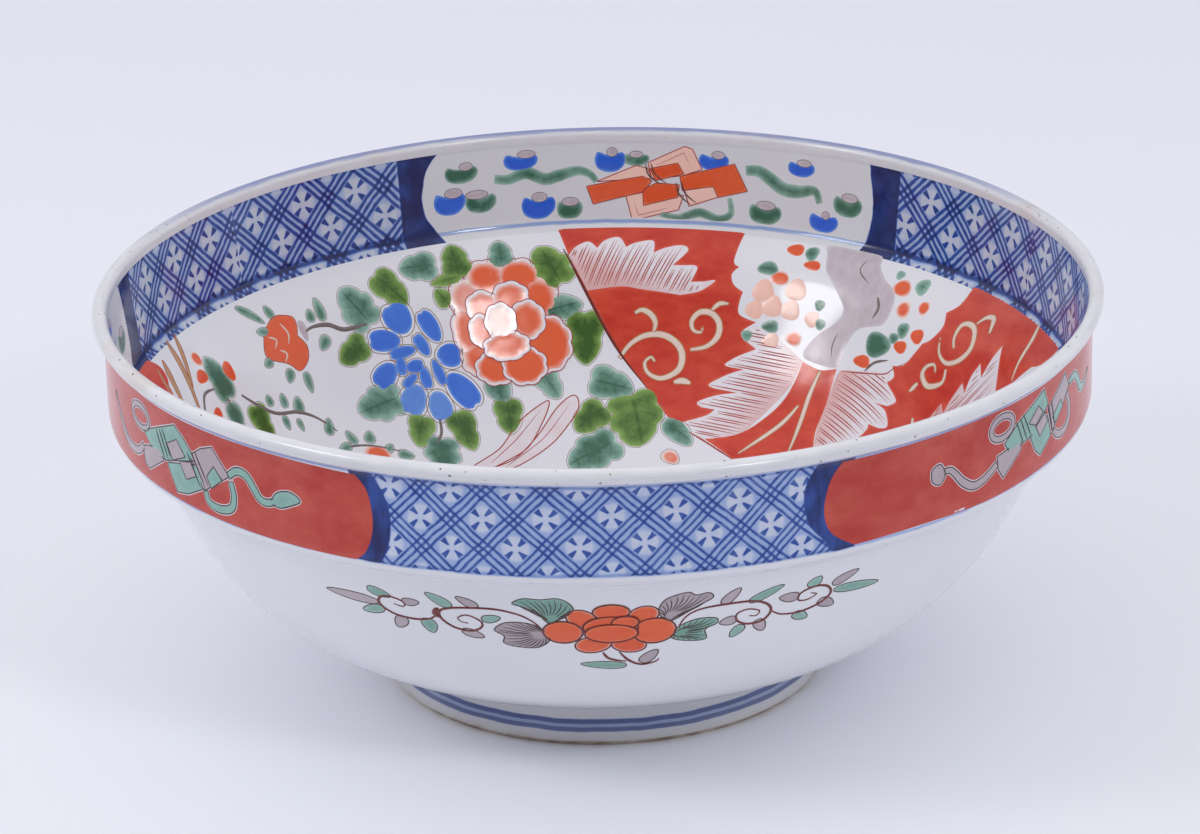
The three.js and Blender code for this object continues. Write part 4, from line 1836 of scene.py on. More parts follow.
RIGHT_FROND = runs(
    (40.3, 38.3),
    [(40.9, 35.0), (44.2, 33.8), (49.6, 31.7), (50.2, 34.2)],
    *RIGHT_FINGERS,
    [(40.9, 51.7), (40.5, 45.0), (40.3, 38.3)],
)
FLAME = runs(
    (62.0, 43.0),
    *FLAME_TIPS,
    [(76.5, 27.0), (73.6, 34.0), (68.0, 42.0), (62.0, 43.0)],
)
FEATHER = runs(
    (-3.9, 9.8),
    [(-2.9, 7.5), (-1.1, 6.0), (0.1, 8.0)],
    [(1.2, 5.7), (3.1, 4.8), (4.1, 7.8)],
    [(5.4, 6.5), (7.8, 5.8), (8.0, 9.4)],
    [(9.5, 7.9), (11.8, 6.9), (12.8, 8.4), (10.9, 12.8)],
    [(12.3, 12.7), (14.4, 12.9), (13.7, 17.2)],
    [(15.5, 16.9), (17.3, 16.4), (15.2, 19.6), (12.3, 21.0)],
    [(6.7, 19.8), (3.5, 19.0), (-1.5, 20.0)],
    [(-2.9, 14.2), (-3.9, 9.8)],
)


def red_wells():
    """Brushed red grounds in the well, with feathered leaves, scrolls and a flowering rock in reserve."""
    box = Paintbox(WELL, "well_ground")
    lift = PAINTS["ground_red"]["rise"]
    for shift in (0.0, -160.5):
        box.shift = shift
        box.enamel("ground_red").patch(LEFT_GROUND, [FEATHER])
        box.enamel("ground_red").patch(RIGHT_GROUND)
        for shape, middle, tips, reach_of in (
            (LEFT_FROND, (27, 44), 195, 13), (RIGHT_FROND, (46, 44), 0, 11), (FLAME, (69, 28), -75, 14),
            (FEATHER, (4, 13), -75, 8),
        ):
            box.enamel("blush").patch(shape, grain=(middle, tips, reach_of, reach_of))
        for shape, degrees, gap, bow in (
            (FEATHER, -65, 0.95, 0.05), (FLAME, -62, 1.2, 0.0), (LEFT_FROND, 3, 1.0, -0.05),
            (RIGHT_FROND, 17, 1.1, 0.05),
        ):
            hatch(box, shape, degrees, gap, bow)
        box.brush("red_line").line([(16.4, 59.4), (19.6, 61.6), (24.0, 64.6), (29.0, 67.6)], 0.6)
        box.brush("red_line").line([(40.6, 35.2), (44.2, 34.2), (49.0, 32.4), (50.4, 30.2),
                                    (53.0, 26.8)], 0.45)
        box.brush("dark_red").line([(-4.6, 8), (-1.8, 20), (1.5, 32), (4.5, 40), (8, 47)], 0.9, base=lift)
        ground_scrolls(box)
        flowering_rock(box)
    box.pieces()


def ground_scrolls(box):
    """Scrolls and stems of worn gilding."""
    lift = PAINTS["ground_red"]["rise"]
    for curl, width in (
        (((5.6, 26.3), (6.7, 25.4), (8.1, 26.7), (8.8, 29.2), (8.4, 32.1)), 1.6),
        (((3.3, 38.8), (4.9, 35.0), (7.2, 32.5), (10.0, 32.1), (12.3, 34.2), (13.4, 37.5), (13.0, 41.7),
          (10.4, 44.2), (8.1, 42.9), (7.4, 40.0), (8.4, 38.3), (9.0, 39.6)), 1.8),
        (((14.6, 35.8), (17.1, 34.6), (18.7, 31.7), (18.7, 27.9), (17.3, 25.4), (15.5, 25.4), (14.4, 27.9),
          (14.8, 30.4), (16.0, 30.8), (16.2, 29.2)), 1.7),
        (((17.3, 24.6), (18.4, 22.6), (19.8, 22.4)), 1.3),
        (((12.5, 45.2), (13.9, 44.6), (15.4, 45.2)), 1.8),
        (((66.2, 10.8), (65.1, 7.1), (63.7, 7.5), (62.6, 10.4)), 1.6),
        (((60.7, 18.8), (59.8, 16.3), (60.0, 12.5), (61.6, 11.3), (63.2, 12.5), (64.2, 16.7),
          (63.0, 20.8), (60.5, 23.2), (58.2, 21.7), (57.1, 17.9)), 1.7),
        (((61.0, 24.6), (61.4, 28.3), (58.7, 30.8), (56.6, 28.8), (56.8, 26.3), (58.2, 25.0),
          (59.1, 26.7)), 1.6),
        (((56.4, 31.2), (55.4, 34.2)), 1.4),
        (((58.8, 40.0), (60.0, 44.0), (57.4, 47.6), (54.8, 46.4)), 1.6),
        (((35.5, 47.0), (33.4, 54.0), (28.0, 64.5)), 1.3),
        (((37.2, 36.5), (36.8, 45.0), (38.0, 62.0)), 1.3),
        (((73.7, 1.2), (75.6, 5.8), (76.9, 12.5), (78.0, 16.4)), 1.4),
    ):
        box.outlined("cream", ribbon(box.chart, curl, width, 0.5, 0.35), "ochre", 0.3, base=lift - 0.01)


def blob(width, height, scallops=0, depth=0.08):
    """A soft round outline in millimetres about its middle, smooth or with scallops."""
    turn_share = np.linspace(0, math.tau, 48, endpoint=False)
    wave = np.abs(np.sin(turn_share * scallops / 2)) if scallops else np.sin(turn_share * 3 + width)
    reach_share = (1 + depth * wave)[:, None] / 2
    return np.stack([np.cos(turn_share), np.sin(turn_share)], 1) * reach_share * (width, height)


def spot(box, name, x, y, width, height, **options):
    """A soft spot of colour without an outline."""
    grain = ((x, y), 0, width / 2, height / 2)
    box.enamel(name).patch(on_chart(box.chart, (x, y), blob(width, height)), grain=grain, **options)


def flowering_rock(box):
    """A pierced grey rock with small blossoms, berries and leaves round it, all in soft spots of colour."""
    rock = rounded([
        (32.3, 2.1), (36, 1.5), (40.4, 1.7), (41.3, 5.0), (43.1, 8.3), (45.4, 10.8), (46.2, 15), (45.6, 20),
        (43.1, 21.8), (41.3, 23.8), (40.2, 29.2), (40.0, 34.2), (36.5, 34.8), (33.4, 33.3), (34.6, 28),
        (37.4, 23), (38.2, 19.2), (36.8, 15.8), (35.0, 12.5), (33.4, 9.2), (32.7, 5.0),
    ], True)
    box.enamel("rock").patch(rock, tone=0.15)
    for crack, width in (
        (((43.1, 13.4), (43.9, 16.2), (43.5, 19.4)), 0.9), (((39.0, 3.4), (38.6, 7.6), (41.4, 11.2)), 0.4),
        (((38.4, 25.0), (38.0, 29.0), (38.6, 33.4)), 0.4), (((45.2, 33.3), (46.4, 30.4), (48.8, 28.6)), 0.8),
    ):
        box.brush("twig").line(crack, width, base=0.06)
    for name, *spots in (
        ("sea_green", (24.8, 11.5, 6, 4, 0.4), (30.5, 5.4, 4, 4.5, 0.4), (45, 5.8, 2.8, 2.8, -0.3),
         (49.5, 7.1, 4.6, 5, -0.2), (49.6, 19.8, 4, 4.4, 0.4), (45.9, 25.6, 8.5, 7, 0.4),
         (23.4, 30.4, 3.6, 3.2, 0.1), (48.4, 22.6, 3.4, 3, 0.4)),
        ("peach", (24.8, 17.9, 6.2, 6.2, 0.3), (29.8, 16.3, 6.2, 6, -0.2), (26.6, 21.7, 6.2, 6, 0.25),
         (29.6, 22, 5.8, 5.6, -0.2), (23.9, 23.2, 5, 5, 0.3), (33.4, 23.3, 4.4, 4.4, -0.3),
         (27.4, 31.0, 5.4, 4.4, -0.2)),
        ("coral", (26.9, 13.8, 5.6, 4, 0.3), (31.2, 29.4, 5, 4, 0), (46.4, 9.2, 6, 5, 0.4),
         (48.2, 14.6, 5, 5, 0), (51.6, 12.4, 4, 4, 0.2)),
        ("orange", (28, 5, 5, 3.6, 0.1), (31.2, 8.8, 5, 2.8, 0.1), (52.6, 20, 4.6, 4, 0.1),
         (50.2, 24.2, 4.6, 3.4, 0.1), (44.1, 31, 5.5, 3.4, 0.1)),
    ):
        for x, y, width, height, tone in spots:
            spot(box, name, x, y, width, height, tone=tone)
    for x, y, width, height in ((26.9, 27.1, 5, 3.5), (34.1, 19.2, 3, 3), (35, 24.2, 3, 3)):
        spot(box, "sea_green", x, y, width, height, tone=0.4, base=0.05)


def flower_wells():
    """White grounds inside the bowl, with a peony, a blue chrysanthemum, their leaves and their buds."""
    box = Paintbox(WELL, "well_flower")
    for flower_shift, bud_shift in ((0.0, 0.0), (172.0, 186.0)):
        box.shift = flower_shift
        flower_group(box)
        box.shift = bud_shift
        bud_branch(box)
        berry_plant(box)
    box.pieces()


def flower_group(box):
    """The two large flowers, with their branches, the leaves round them and the blades below."""
    for branch, width in (
        (((-36, 20.6), (-40, 20.4), (-42.4, 17.9), (-45.1, 17.1), (-47.3, 17.9)), 1.4),
        (((-29, 50), (-30, 55), (-33, 59)), 0.9),
    ):
        box.brush("twig").line(branch, width, 0.7, 0.4)
    for number, (name, x, y, length, width, degrees, lobes) in enumerate((
        ("sea_green", -25.7, 8.2, 11, 9, 185, 3), ("leaf_green", -20, 8.2, 10.5, 9, -92, 3),
        ("leaf_green", -22, 13.3, 10, 4.4, 172, 1), ("leaf_green", -23.1, 17.9, 6.5, 6, -120, 1),
        ("sea_green", -13.4, 7.9, 8.4, 7.5, -85, 3), ("leaf_green", -6.6, 12.1, 12.5, 11, -115, 5),
        ("sea_green", -5.9, 24.2, 13.5, 8.7, -12, 3), ("leaf_green", -2.0, 33.3, 15, 11, 90, 3),
        ("sea_green", -36.9, 15.3, 13, 11, -115, 5), ("leaf_green", -30.4, 13.2, 12.5, 9.5, 55, 3),
        ("leaf_green", -40, 26.7, 11, 8.5, 165, 3), ("sea_green", -38.9, 42.5, 14.5, 10.5, 175, 5),
        ("sea_green", -17.2, 45.6, 9, 8, 80, 1), ("leaf_green", -16.5, 53.8, 11, 8.8, 95, 3),
        ("sea_green", -8.2, 45.5, 9.6, 7.4, 60, 3), ("sea_green", 2.3, 46.2, 12.5, 10, 15, 3),
        ("leaf_green", -2.2, 56.3, 11.5, 9.8, 140, 3), ("leaf_green", 6.9, 57.2, 17, 16, 75, 5),
        ("sea_green", -2.5, 67.6, 16.5, 12.5, 150, 5), ("sea_green", 15.1, 60, 12, 6.8, 35, 1),
        ("leaf_green", -33.7, 53, 10.5, 8.5, 125, 3), ("leaf_green", -25.6, 55.9, 13, 9.2, 92, 3),
        ("sea_green", -32.1, 61.8, 12, 11, 115, 5), ("coral", 14.5, 68.5, 6, 4.5, 40, 1),
    )):
        tone = 0.16 * math.sin(number * 2.1)
        bend = 0.06 * math.sin(x * 3)
        leaf_round(box, name, (x, y), length, width, degrees, lobes=lobes, bend=bend, tone=tone)
    chrysanthemum(box)
    peony(box)
    blades(box)


def chrysanthemum(box):
    """Broad blue petals, the lower ones paler, round a small curled heart, each with a soft outline."""
    for name, *petals in (
        ("blue", (-30.8, 21.2, 10.4, 9.8, -112), (-26.1, 25.0, 10.2, 6.0, -112),
         (-34.0, 26.2, 10.4, 7.2, 192), (-35.7, 35.4, 9.6, 7.4, 150), (-24.1, 33.8, 8.0, 7.8, 5)),
        ("pale_blue", (-32.4, 43.8, 10.6, 8.8, 132), (-28.1, 47.2, 9.8, 8.0, 92)),
        ("blue", (-23.3, 44.0, 12.6, 8.6, 62), (-28.1, 29.6, 7.2, 4.3, -112), (-31.6, 30.4, 8.6, 4.0, 178),
         (-32.5, 33.9, 6.0, 3.8, 100), (-31.8, 38.4, 6.0, 3.2, 150), (-29.0, 38.6, 6.8, 4.0, 92),
         (-26.5, 37.9, 8.0, 3.6, 80), (-30.2, 34.9, 6.0, 4.4, 0)),
    ):
        for x, y, length, width, degrees in petals:
            placed = on_chart(box.chart, (x, y), turned_flat(petal(length, width), degrees))
            grain = ((x, y), degrees, length / 2, width / 2)
            tone = 0.12 * math.sin(x * 7)
            box.outlined(name, placed, "fawn", 0.26, inset=width * 0.08, grain=grain, tone=tone)


def peony(box):
    """Scalloped petals round a pale heart, each orange within and washed out towards its red outline."""
    # The upper left petal's low tone is partly a paler wash and partly painted highlight, where a lamp's
    # reflection washes the orange out.
    for x, y, width, height, scallops, tone, level in (
        (-19.6, 19.2, 10, 11, 7, -0.3, 0), (-16.2, 14.4, 11.5, 10, 8, 0.05, 0),
        (-11.4, 15.2, 12, 10.5, 8, 0.25, 0), (-8.9, 21.4, 11, 12.5, 8, 0.05, 0),
        (-20.2, 28.0, 9, 14, 8, 0.05, 0), (-19.0, 36.0, 11, 10, 8, 0.1, 0),
        (-8.4, 34.0, 14, 15.5, 9, 0.55, 1), (-16.8, 39.2, 11.5, 9.5, 8, 0.35, 1),
        (-12.2, 39.6, 12, 10.5, 8, 0.5, 2), (-17.4, 22.0, 9, 8.5, 6, -0.05, 1),
        (-13.0, 20.4, 10, 8.5, 7, 0.0, 1), (-10.8, 27.0, 9.5, 10.5, 7, 0.2, 2),
        (-14.6, 33.6, 12.5, 8, 8, 0.2, 3), (-18.2, 28.6, 7, 9, 6, -0.1, 2),
        (-15.0, 26.8, 8.6, 10, 7, -0.6, 3),
    ):
        placed = on_chart(box.chart, (x, y), blob(width, height, scallops, 0.1))
        inner = on_chart(box.chart, (x, y), blob(width - 1.7, height - 1.7, scallops, 0.13))
        lift = level * peony_step
        box.outlined("reserve", placed, "red_line", 0.28, base=lift)
        grain = ((x, y), 0, width / 2, height / 2)
        box.enamel("coral").patch(inner, base=lift + 0.03, grain=grain, tone=tone)


def blades(box):
    """Pale pointed blades with red edges, below the flowers."""
    for places in (
        ((-27.6, 67.6), (-20.2, 63), (-15, 55.5), (-10.2, 50.7), (-8.9, 50.5), (-10.5, 55.9),
         (-14.5, 63.8), (-20.2, 67.6), (-25.3, 69.3)),
        ((-25.3, 69.6), (-17.9, 67), (-12.2, 60.5), (-7.6, 52.2), (-4.8, 49), (-3.8, 50.5), (-4.5, 54.7),
         (-9.3, 63), (-15.6, 68.4), (-21.3, 70.6)),
    ):
        box.outlined("blush", rounded(places, True, scale=1.2), "red_line", 0.36, tone=0.8)
    for rib in ([(-23, 67.2), (-16.5, 61), (-10.6, 52.6)], [(-20.4, 69.4), (-11.4, 61.8), (-5.4, 51.6)]):
        box.brush("red_line").line(rib, 0.24, base=0.04)


def bud_branch(box):
    """An orange bud of two lobes beside the chrysanthemum, with its calyx and small leaves."""
    bud = runs(
        (-48.3, 17.9),
        [(-47.6, 14.6), (-47.9, 12.4), (-50.5, 10.8), (-52.8, 12.5), (-54.6, 15.4), (-55.5, 20),
         (-52.1, 23.8), (-50.5, 26.7), (-48.3, 25), (-47.4, 21.3), (-48.3, 17.9)],
    )
    box.outlined("orange", bud, "red_line", 0.3)
    for curl in (((-53.6, 15.2), (-52.4, 16.8), (-53.4, 18.8)), ((-52.6, 19.6), (-51.6, 21.2),
                                                                 (-52.6, 23.2)),
                 ((-50.4, 13.0), (-49.8, 16.4), (-50.6, 19.2))):
        box.brush("cream").line(curl, 0.7, base=0.07)
    spot(box, "rock", -46.9, 17.0, 2.6, 6, tone=0.5)
    for x, y, length, width, degrees in (
        (-54.2, 7.8, 9.5, 3, 52), (-51.1, 9, 4.2, 3, -95), (-53.9, 13.5, 5, 3, 200),
        (-55.8, 21.4, 3.7, 3, 170), (-52.8, 26.9, 4.2, 3.4, 130), (-49.8, 30.5, 6, 3, 95),
        (-44.7, 14, 3.8, 3, -80), (-42.8, 13.1, 7, 3.4, -88), (-44.2, 22.2, 5, 3.8, 140),
    ):
        leaf_round(box, "sea_green", (x, y), length, width, degrees, tone=0.3)


def berry_plant(box):
    """A plant with red buds at the panel's end, a trailing stem of small leaves, and grass."""
    for twig, width in (
        (((-76.3, 23.8), (-73.1, 18.8), (-69.5, 19.5)), 1.0), (((-68.4, 36), (-68.0, 26), (-68.2, 12)), 0.6),
        (((-64.5, 25), (-61.4, 30.8), (-58.7, 34.2), (-54.6, 36.3), (-51.4, 40), (-49, 45.3)), 1.1),
        (((-50.4, 50), (-45, 52), (-39, 57)), 0.7), (((-67.6, 22), (-65.6, 19.6), (-64.6, 18)), 0.5),
    ):
        box.brush("twig").line(twig, width, 0.7, 0.4)
    for name, *leaves in (
        ("sea_green", (-67.6, 17.5, 13, 9.5, -92, 3), (-68.4, 28.8, 9, 7.5, 100, 1)),
        ("leaf_green", (-63.2, 34.9, 12, 9, 95, 3)),
        ("sea_green", (-59.2, 30.1, 3.4, 3, -90, 1), (-56.3, 31.9, 4.2, 3, -80, 1),
         (-53.8, 34.7, 5, 4, -70, 1), (-58, 37.5, 4.2, 2.6, 100, 1), (-55.4, 39.7, 3.8, 2.2, 95, 1),
         (-50.1, 43.3, 5.2, 3.4, -60, 1), (-49.7, 50.5, 5.4, 3, 170, 1), (-47.1, 48.4, 4.7, 3, -100, 1),
         (-43.6, 50.1, 4, 3.6, -60, 1), (-41.1, 54.9, 3.4, 2.6, -30, 1), (-38.7, 58.3, 4.8, 3.4, 30, 1)),
    ):
        for x, y, length, width, degrees, lobes in leaves:
            leaf_round(box, name, (x, y), length, width, degrees, lobes=lobes, tone=0.3)
    for name, *buds in (
        ("coral", (-69.4, 10.4, 3.9, 4.2), (-44.3, 55.8, 8, 7)),
        ("orange", (-70.9, 14.8, 5.6, 3.7), (-64.5, 17.9, 4.4, 5.6), (-72.3, 24.9, 4.4, 3.2),
         (-71.4, 28.8, 3.7, 2.8)),
    ):
        for bud in buds:
            spot(box, name, *bud, tone=0.3)
    for places, width in (
        (((-78.1, 3.4), (-80.2, 8.4), (-82, 14)), 2.0), (((-75.9, 4.6), (-78.2, 10.2), (-80.2, 17)), 2.0),
        (((-71.3, 1.2), (-73.5, 9), (-77, 22)), 1.8), (((-69, 1.6), (-71.6, 8), (-74.6, 15)), 1.3),
    ):
        box.outlined("ochre", ribbon(box.chart, places, width, 0.15, 0.5), "red_line", 0.26)


# The studio


def lamp(name, azimuth, elevation, distance, size, power):
    """A soft lamp with a dimmer rim, aimed at the bowl. Azimuth 0 is behind it, and 90 to its right."""
    around, up = math.radians(azimuth), math.radians(elevation)
    away = Vector((math.sin(around) * math.cos(up), math.cos(around) * math.cos(up), math.sin(up)))
    for part, growth, share in (("core", 1.0, 0.75), ("rim", 1.8, 0.25)):
        light = bpy.data.lights.new(f"{name} {part}", "AREA")
        light.shape = "ELLIPSE"
        light.size, light.size_y = (side * growth for side in size)
        light.energy = power * share
        holder = in_scene(light.name, light)
        holder.location = Vector((0, 0, bowl_height * MM / 2)) + away * distance * growth ** 0.1
        holder.rotation_euler = (-away).to_track_quat("-Z", "Y").to_euler()


def floor_material():
    """Paper that is palest under the bowl, where painted light lifts its shadow, and shades into the
    backdrop behind it.
    """
    studio = bpy.context.scene.bowl_studio

    def outcome(wiring, position):
        cloud = noise(wiring, position, 3.0, detail=3)
        _, away, _ = split(wiring, position)
        share = (away + cloud * 0.1).rise(-0.25, 0.35)
        color = mixed(wiring, share, (*studio.floor_color, 1), (*studio.backdrop_color, 1))
        length = wiring.new("ShaderNodeVectorMath", {0: position}, operation="LENGTH")
        # Painted light: the paper is made paler close to the bowl, where its shadow falls.
        painted_light_near_bowl = Field(wiring, length.outputs["Value"]).rise(0.34, 0.13) * 0.9
        color = mixed(wiring, painted_light_near_bowl, color, (*studio.painted_floor_light, 1))
        return {"Color": color, "Roughness": cloud * 0.1 + 0.6, "Height": cloud * 0.1}

    return linked_material("Paper floor", outcome)


def set_floor():
    """A wide sheet of paper, which curves up far behind the bowl."""
    run, bend, top = 2.4, 0.8, 2.2
    steps = [(floor_front, 0.0), (run, 0.0)]
    for angle in np.linspace(0.1, math.pi / 2, 12):
        steps.append((run + bend * math.sin(angle), bend * (1 - math.cos(angle))))
    steps.append((run + bend, top))
    mesh = bpy.data.meshes.new("studio_floor")
    points = [(side, y, z) for y, z in steps for side in (-floor_half_width, floor_half_width)]
    faces = [(2 * i, 2 * i + 1, 2 * i + 3, 2 * i + 2) for i in range(len(steps) - 1)]
    mesh.from_pydata(points, [], faces)
    mesh.materials.append(floor_material())
    mesh.shade_smooth()
    in_scene("studio_floor", mesh)


def set_world():
    """Light from all round, weaker from in front and below than from above and behind."""
    studio = bpy.context.scene.bowl_studio
    world = bpy.data.worlds.new("Soft room")
    world.use_nodes = True
    wiring = Wiring(world.node_tree)
    right, behind, above = split(wiring, wiring.new("ShaderNodeTexCoord").outputs["Generated"])
    height = (behind * 0.55 + above * 0.83).rise(-0.35, 0.75)
    side = right.rise(0.3, 0.9) * above.rise(0.6, 0.1) * studio.room_side
    background = world.node_tree.nodes["Background"]
    background.inputs["Color"].default_value = (*studio.room_color, 1)
    strength = height * (studio.room_high - studio.room_low) + studio.room_low + side
    wiring.feed(background.inputs["Strength"], strength)
    bpy.context.scene.world = world


def set_camera():
    """The camera of the photograph, which looks down at the bowl and is turned a little on its axis."""
    studio = bpy.context.scene.bowl_studio
    elevation = studio.camera_elevation
    away = Vector((0, -math.cos(elevation), math.sin(elevation)))
    place = camera_centre + studio.camera_distance * away
    forward = (camera_target - place).normalized()
    right = forward.cross(Vector((0, 0, 1))).normalized()
    above = right.cross(forward)
    roll = studio.camera_roll
    side = right * math.cos(roll) + above * math.sin(roll)
    top = above * math.cos(roll) - right * math.sin(roll)
    data = bpy.data.cameras.new("Camera")
    data.sensor_width = 36
    data.lens = studio.camera_lens
    camera = in_scene("Camera", data)
    turn_matrix = Matrix((side, top, -forward)).transposed()
    camera.matrix_world = Matrix.Translation(place) @ turn_matrix.to_4x4()
    bpy.context.scene.camera = camera


def set_stage():
    """The floor, the room's light, the camera and a lamp on each side."""
    studio = bpy.context.scene.bowl_studio
    bpy.context.scene.view_settings.view_transform = "Standard"
    set_floor()
    set_world()
    set_camera()
    lamp("Left lamp", -110, 36, 1.6, (0.50, 0.44), studio.left_power)
    lamp("Right lamp", 146, 36, 1.8, (0.30, 0.30), studio.right_power)


# The panel's settings


class BowlForm(bpy.types.PropertyGroup):
    """How finely the bowl is turned."""

    steps_round: bpy.props.IntProperty(
        name="Steps Round",
        description="Facets round each turned section; a multiple of 4 keeps its full width",
        default=360,
        min=48,
        max=720,
    )


def shade(code):
    """A colour written as two hex digits each of red, green and blue, in the linear values of a shader."""
    parts = [(code >> shift & 255) / 255 for shift in (16, 8, 0)]
    return tuple(part / 12.92 if part <= 0.04045 else ((part + 0.055) / 1.055) ** 2.4 for part in parts)


def color_setting(name, description, default):
    return bpy.props.FloatVectorProperty(
        name=name, description=description, default=default, subtype="COLOR", size=3, min=0, max=1,
    )


def enamel_setting(name, description, code):
    return color_setting(name, description, shade(code))


def amount(name, description, default, **options):
    return bpy.props.FloatProperty(name=name, description=description, default=default, **options)


class BowlPaint(bpy.types.PropertyGroup):
    """The colours of the body, the cobalt and the enamels."""

    body_color: color_setting("Porcelain", "Glazed white body", (0.81, 0.80, 0.84))
    lip_color: color_setting("Lip", "Thinly glazed lip", (0.74, 0.735, 0.765))
    cobalt_pale: color_setting("Pale Cobalt", "Thin wash of cobalt", (0.30, 0.41, 0.70))
    cobalt_full: color_setting("Full Cobalt", "Brush stroke of cobalt", (0.024, 0.075, 0.35))
    cobalt_deep: color_setting("Deep Cobalt", "Pooled cobalt", (0.004, 0.010, 0.095))
    panel_red: enamel_setting("Panel Red", "Iron red round the outside", 0xCC5647)
    ground_red: enamel_setting("Ground Red", "Iron red in the well", 0xD5452A)
    blush: enamel_setting("Blush", "Thin pink wash at the root of the hatched fronds", 0xDDAEAC)
    orange: enamel_setting("Orange", "Orange petals and books", 0xE65E2E)
    coral: enamel_setting("Coral", "Washed-out edges of the peony's petals", 0xF2DDD6)
    peach: enamel_setting("Peach", "Pale books and blossoms", 0xF7CFC0)
    red_line: enamel_setting("Red Line", "Fine red brush lines", 0xB8443A)
    rose_line: enamel_setting("Rose Line", "Hatching of the fronds", 0xC46E66)
    dark_red: enamel_setting("Dark Red", "Vines and outlines of the orange flowers", 0x84291F)
    umber: enamel_setting("Umber", "Dark brown brush lines", 0x5E4C48)
    fawn: enamel_setting("Fawn", "Thin brown outlines in the well", 0xA08C86)
    twig: enamel_setting("Twig", "Grey-brown branches", 0x8A7A78)
    leaf_green: enamel_setting("Leaf Green", "Yellow-green leaves", 0x789C48)
    sea_green: enamel_setting("Sea Green", "Blue-green leaves", 0x86AE9E)
    teal: enamel_setting("Teal", "Turquoise of the emblems", 0x98BFB6)
    sage: enamel_setting("Sage", "Grey-green of the outside leaves", 0x90B8AC)
    lilac: enamel_setting("Lilac", "Grey-lilac of the outside leaves", 0xBDB0B6)
    rock: enamel_setting("Rock", "Grey-lilac of the rock", 0xCFC4CA)
    blue: enamel_setting("Blue", "Thick blue of the chrysanthemum", 0x3E78DC)
    pale_blue: enamel_setting("Pale Blue", "Its lower petals", 0x6090E0)
    reserve: enamel_setting("Reserve", "Pale edge round the emblems", 0xE8E3E9)
    cream: enamel_setting("Cream", "Scrolls where the gilding has worn away", 0xE8D5C8)
    ochre: enamel_setting("Ochre", "Grass, and the gilding that is left", 0xC49A70)


class BowlStudio(bpy.types.PropertyGroup):
    """The stage, the lamps and the camera."""

    floor_color: color_setting("Floor", "Pale paper under the bowl", (0.63, 0.642, 0.735))
    # Painted light: the paler paper under the bowl, which lifts the bowl's shadow there
    painted_floor_light: color_setting("Floor Under The Bowl", "The palest part of the paper", (0.93, 0.945, 1.0))
    backdrop_color: color_setting("Backdrop", "Pale paper behind the bowl", (0.875, 0.87, 0.955))
    room_color: color_setting("Room", "Colour of the light from all round", (0.95, 0.96, 1.0))
    room_low: amount("Room Front", "Light from in front and below", 0.32)
    room_high: amount("Room Top", "Light from above and behind", 0.94)
    room_side: amount("Room Right", "More light from the right", 0.4)
    left_power: amount("Left Power", "Left lamp", 5.2, unit="POWER")
    right_power: amount("Right Power", "Right lamp", 4.6, unit="POWER")
    camera_distance: amount("Distance", "Camera to bowl", 1.2, unit="LENGTH")
    camera_elevation: amount("Elevation", "Camera above level", math.radians(22.177), subtype="ANGLE")
    camera_roll: amount("Roll", "Camera turned on its axis", math.radians(-1.373), subtype="ANGLE")
    camera_lens: amount("Lens", "Focal length in millimetres", 143.0, unit="CAMERA")


# Operators, one for each group of pieces


class BOWL_OT_turn_shell(bpy.types.Operator):
    """Turn the rounded wall and the floor of the well"""

    bl_idname = "bowl.turn_shell"
    bl_label = "Wall and Floor"

    def execute(self, context):
        turn("bowl_shell", shell_profile(), shell_glaze(), "glazed_porcelain", "bowl_wall", "well_floor")
        return {"FINISHED"}


class BOWL_OT_turn_collar(bpy.types.Operator):
    """Turn the upright collar with its cobalt lattice"""

    bl_idname = "bowl.turn_collar"
    bl_label = "Collar"

    def execute(self, context):
        turn("painted_collar", collar_profile(), collar_glaze(), "glazed_porcelain", "rim_collar")
        return {"FINISHED"}


class BOWL_OT_turn_lip(bpy.types.Operator):
    """Turn the rolled lip"""

    bl_idname = "bowl.turn_lip"
    bl_label = "Lip"

    def execute(self, context):
        turn("worn_lip", lip_profile(), lip_glaze(), "bare_lip", "lip_roll")
        return {"FINISHED"}


class BOWL_OT_turn_foot(bpy.types.Operator):
    """Turn the foot ring and its bare edge"""

    bl_idname = "bowl.turn_foot"
    bl_label = "Foot"

    def execute(self, context):
        turn("lined_foot", foot_profile(), foot_glaze(), "glazed_porcelain", "foot_ring")
        turn("bare_foot_edge", pad_profile(), biscuit(), "bare_biscuit", "foot_pad")
        return {"FINISHED"}


class BOWL_OT_paint_panels(bpy.types.Operator):
    """Paint the red panels and their emblems outside the collar"""

    bl_idname = "bowl.paint_panels"
    bl_label = "Red Panels"

    def execute(self, context):
        red_panels()
        return {"FINISHED"}


class BOWL_OT_paint_sprays(bpy.types.Operator):
    """Paint the flower sprays outside the wall"""

    bl_idname = "bowl.paint_sprays"
    bl_label = "Wall Sprays"

    def execute(self, context):
        wall_sprays()
        return {"FINISHED"}


class BOWL_OT_paint_cartouches(bpy.types.Operator):
    """Paint the tied books and the fruit inside the collar"""

    bl_idname = "bowl.paint_cartouches"
    bl_label = "Cartouches"

    def execute(self, context):
        cartouches()
        return {"FINISHED"}


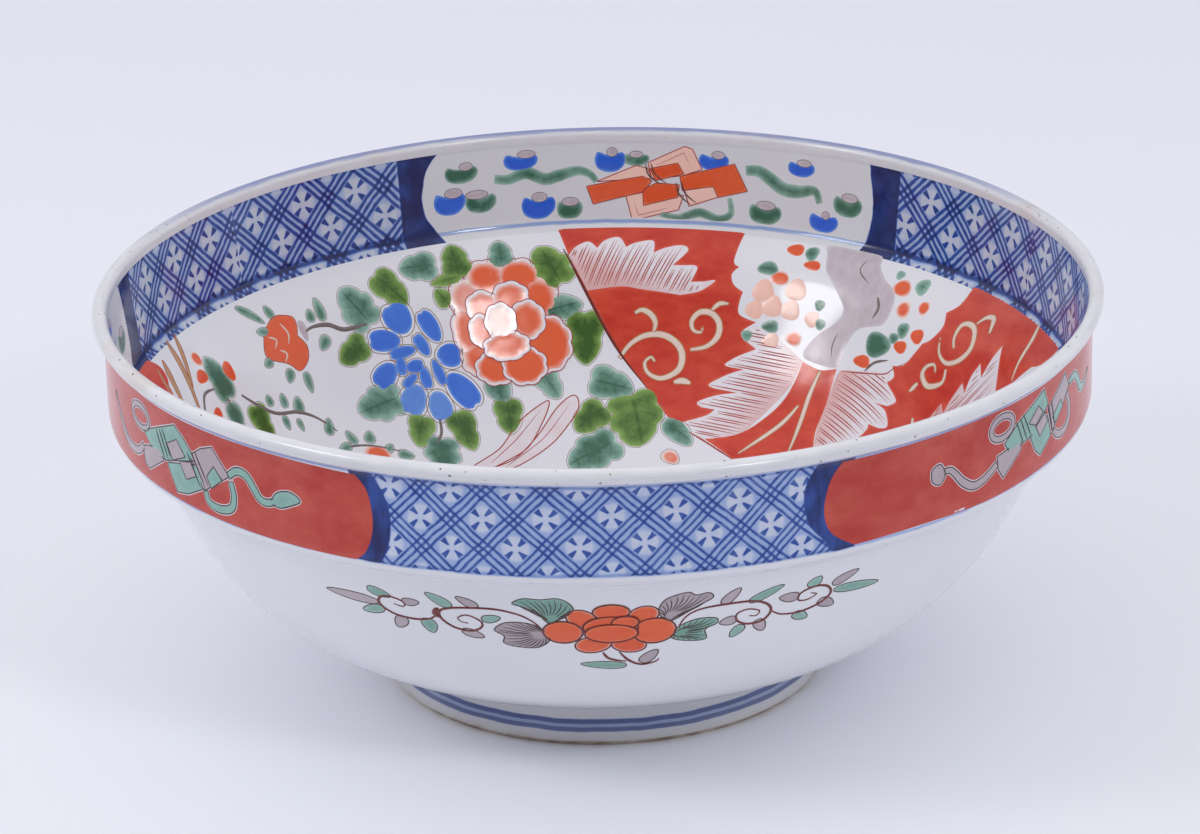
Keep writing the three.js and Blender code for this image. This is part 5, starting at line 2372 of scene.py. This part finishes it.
class BOWL_OT_paint_grounds(bpy.types.Operator):
    """Paint the red grounds in the well, with their leaves, scrolls and rock"""

    bl_idname = "bowl.paint_grounds"
    bl_label = "Red Grounds"

    def execute(self, context):
        red_wells()
        return {"FINISHED"}


class BOWL_OT_paint_flowers(bpy.types.Operator):
    """Paint the peony, the chrysanthemum and the buds in the well"""

    bl_idname = "bowl.paint_flowers"
    bl_label = "Flowers"

    def execute(self, context):
        flower_wells()
        return {"FINISHED"}


class BOWL_OT_set_stage(bpy.types.Operator):
    """Set the floor, the light and the camera"""

    bl_idname = "bowl.set_stage"
    bl_label = "Stage"

    def execute(self, context):
        set_stage()
        return {"FINISHED"}


OPERATORS = (
    BOWL_OT_set_stage,
    BOWL_OT_turn_shell,
    BOWL_OT_turn_collar,
    BOWL_OT_turn_lip,
    BOWL_OT_turn_foot,
    BOWL_OT_paint_panels,
    BOWL_OT_paint_sprays,
    BOWL_OT_paint_cartouches,
    BOWL_OT_paint_grounds,
    BOWL_OT_paint_flowers,
)
SETTINGS = {"bowl_form": BowlForm, "bowl_paint": BowlPaint, "bowl_studio": BowlStudio}


class BOWL_PT_sidebar(bpy.types.Panel):
    """The settings and the steps, in the order in which they run"""

    bl_label = "Footed Bowl"
    bl_idname = "BOWL_PT_sidebar"
    bl_space_type = "VIEW_3D"
    bl_region_type = "UI"
    bl_category = "Bowl"

    def draw(self, context):
        for group, kind in SETTINGS.items():
            box = self.layout.box()
            for setting in kind.__annotations__:
                box.prop(getattr(context.scene, group), setting)
        for operator in OPERATORS:
            self.layout.operator(operator.bl_idname)


def register():
    for kind in (*SETTINGS.values(), *OPERATORS, BOWL_PT_sidebar):
        bpy.utils.register_class(kind)
    for name, kind in SETTINGS.items():
        setattr(bpy.types.Scene, name, bpy.props.PointerProperty(type=kind))


def unregister():
    for name in SETTINGS:
        delattr(bpy.types.Scene, name)
    for kind in reversed((*SETTINGS.values(), *OPERATORS, BOWL_PT_sidebar)):
        bpy.utils.unregister_class(kind)


def main():
    register()
    for operator in OPERATORS:
        area, name = operator.bl_idname.split(".")
        getattr(getattr(bpy.ops, area), name)()


if __name__ == "__main__":
    main()
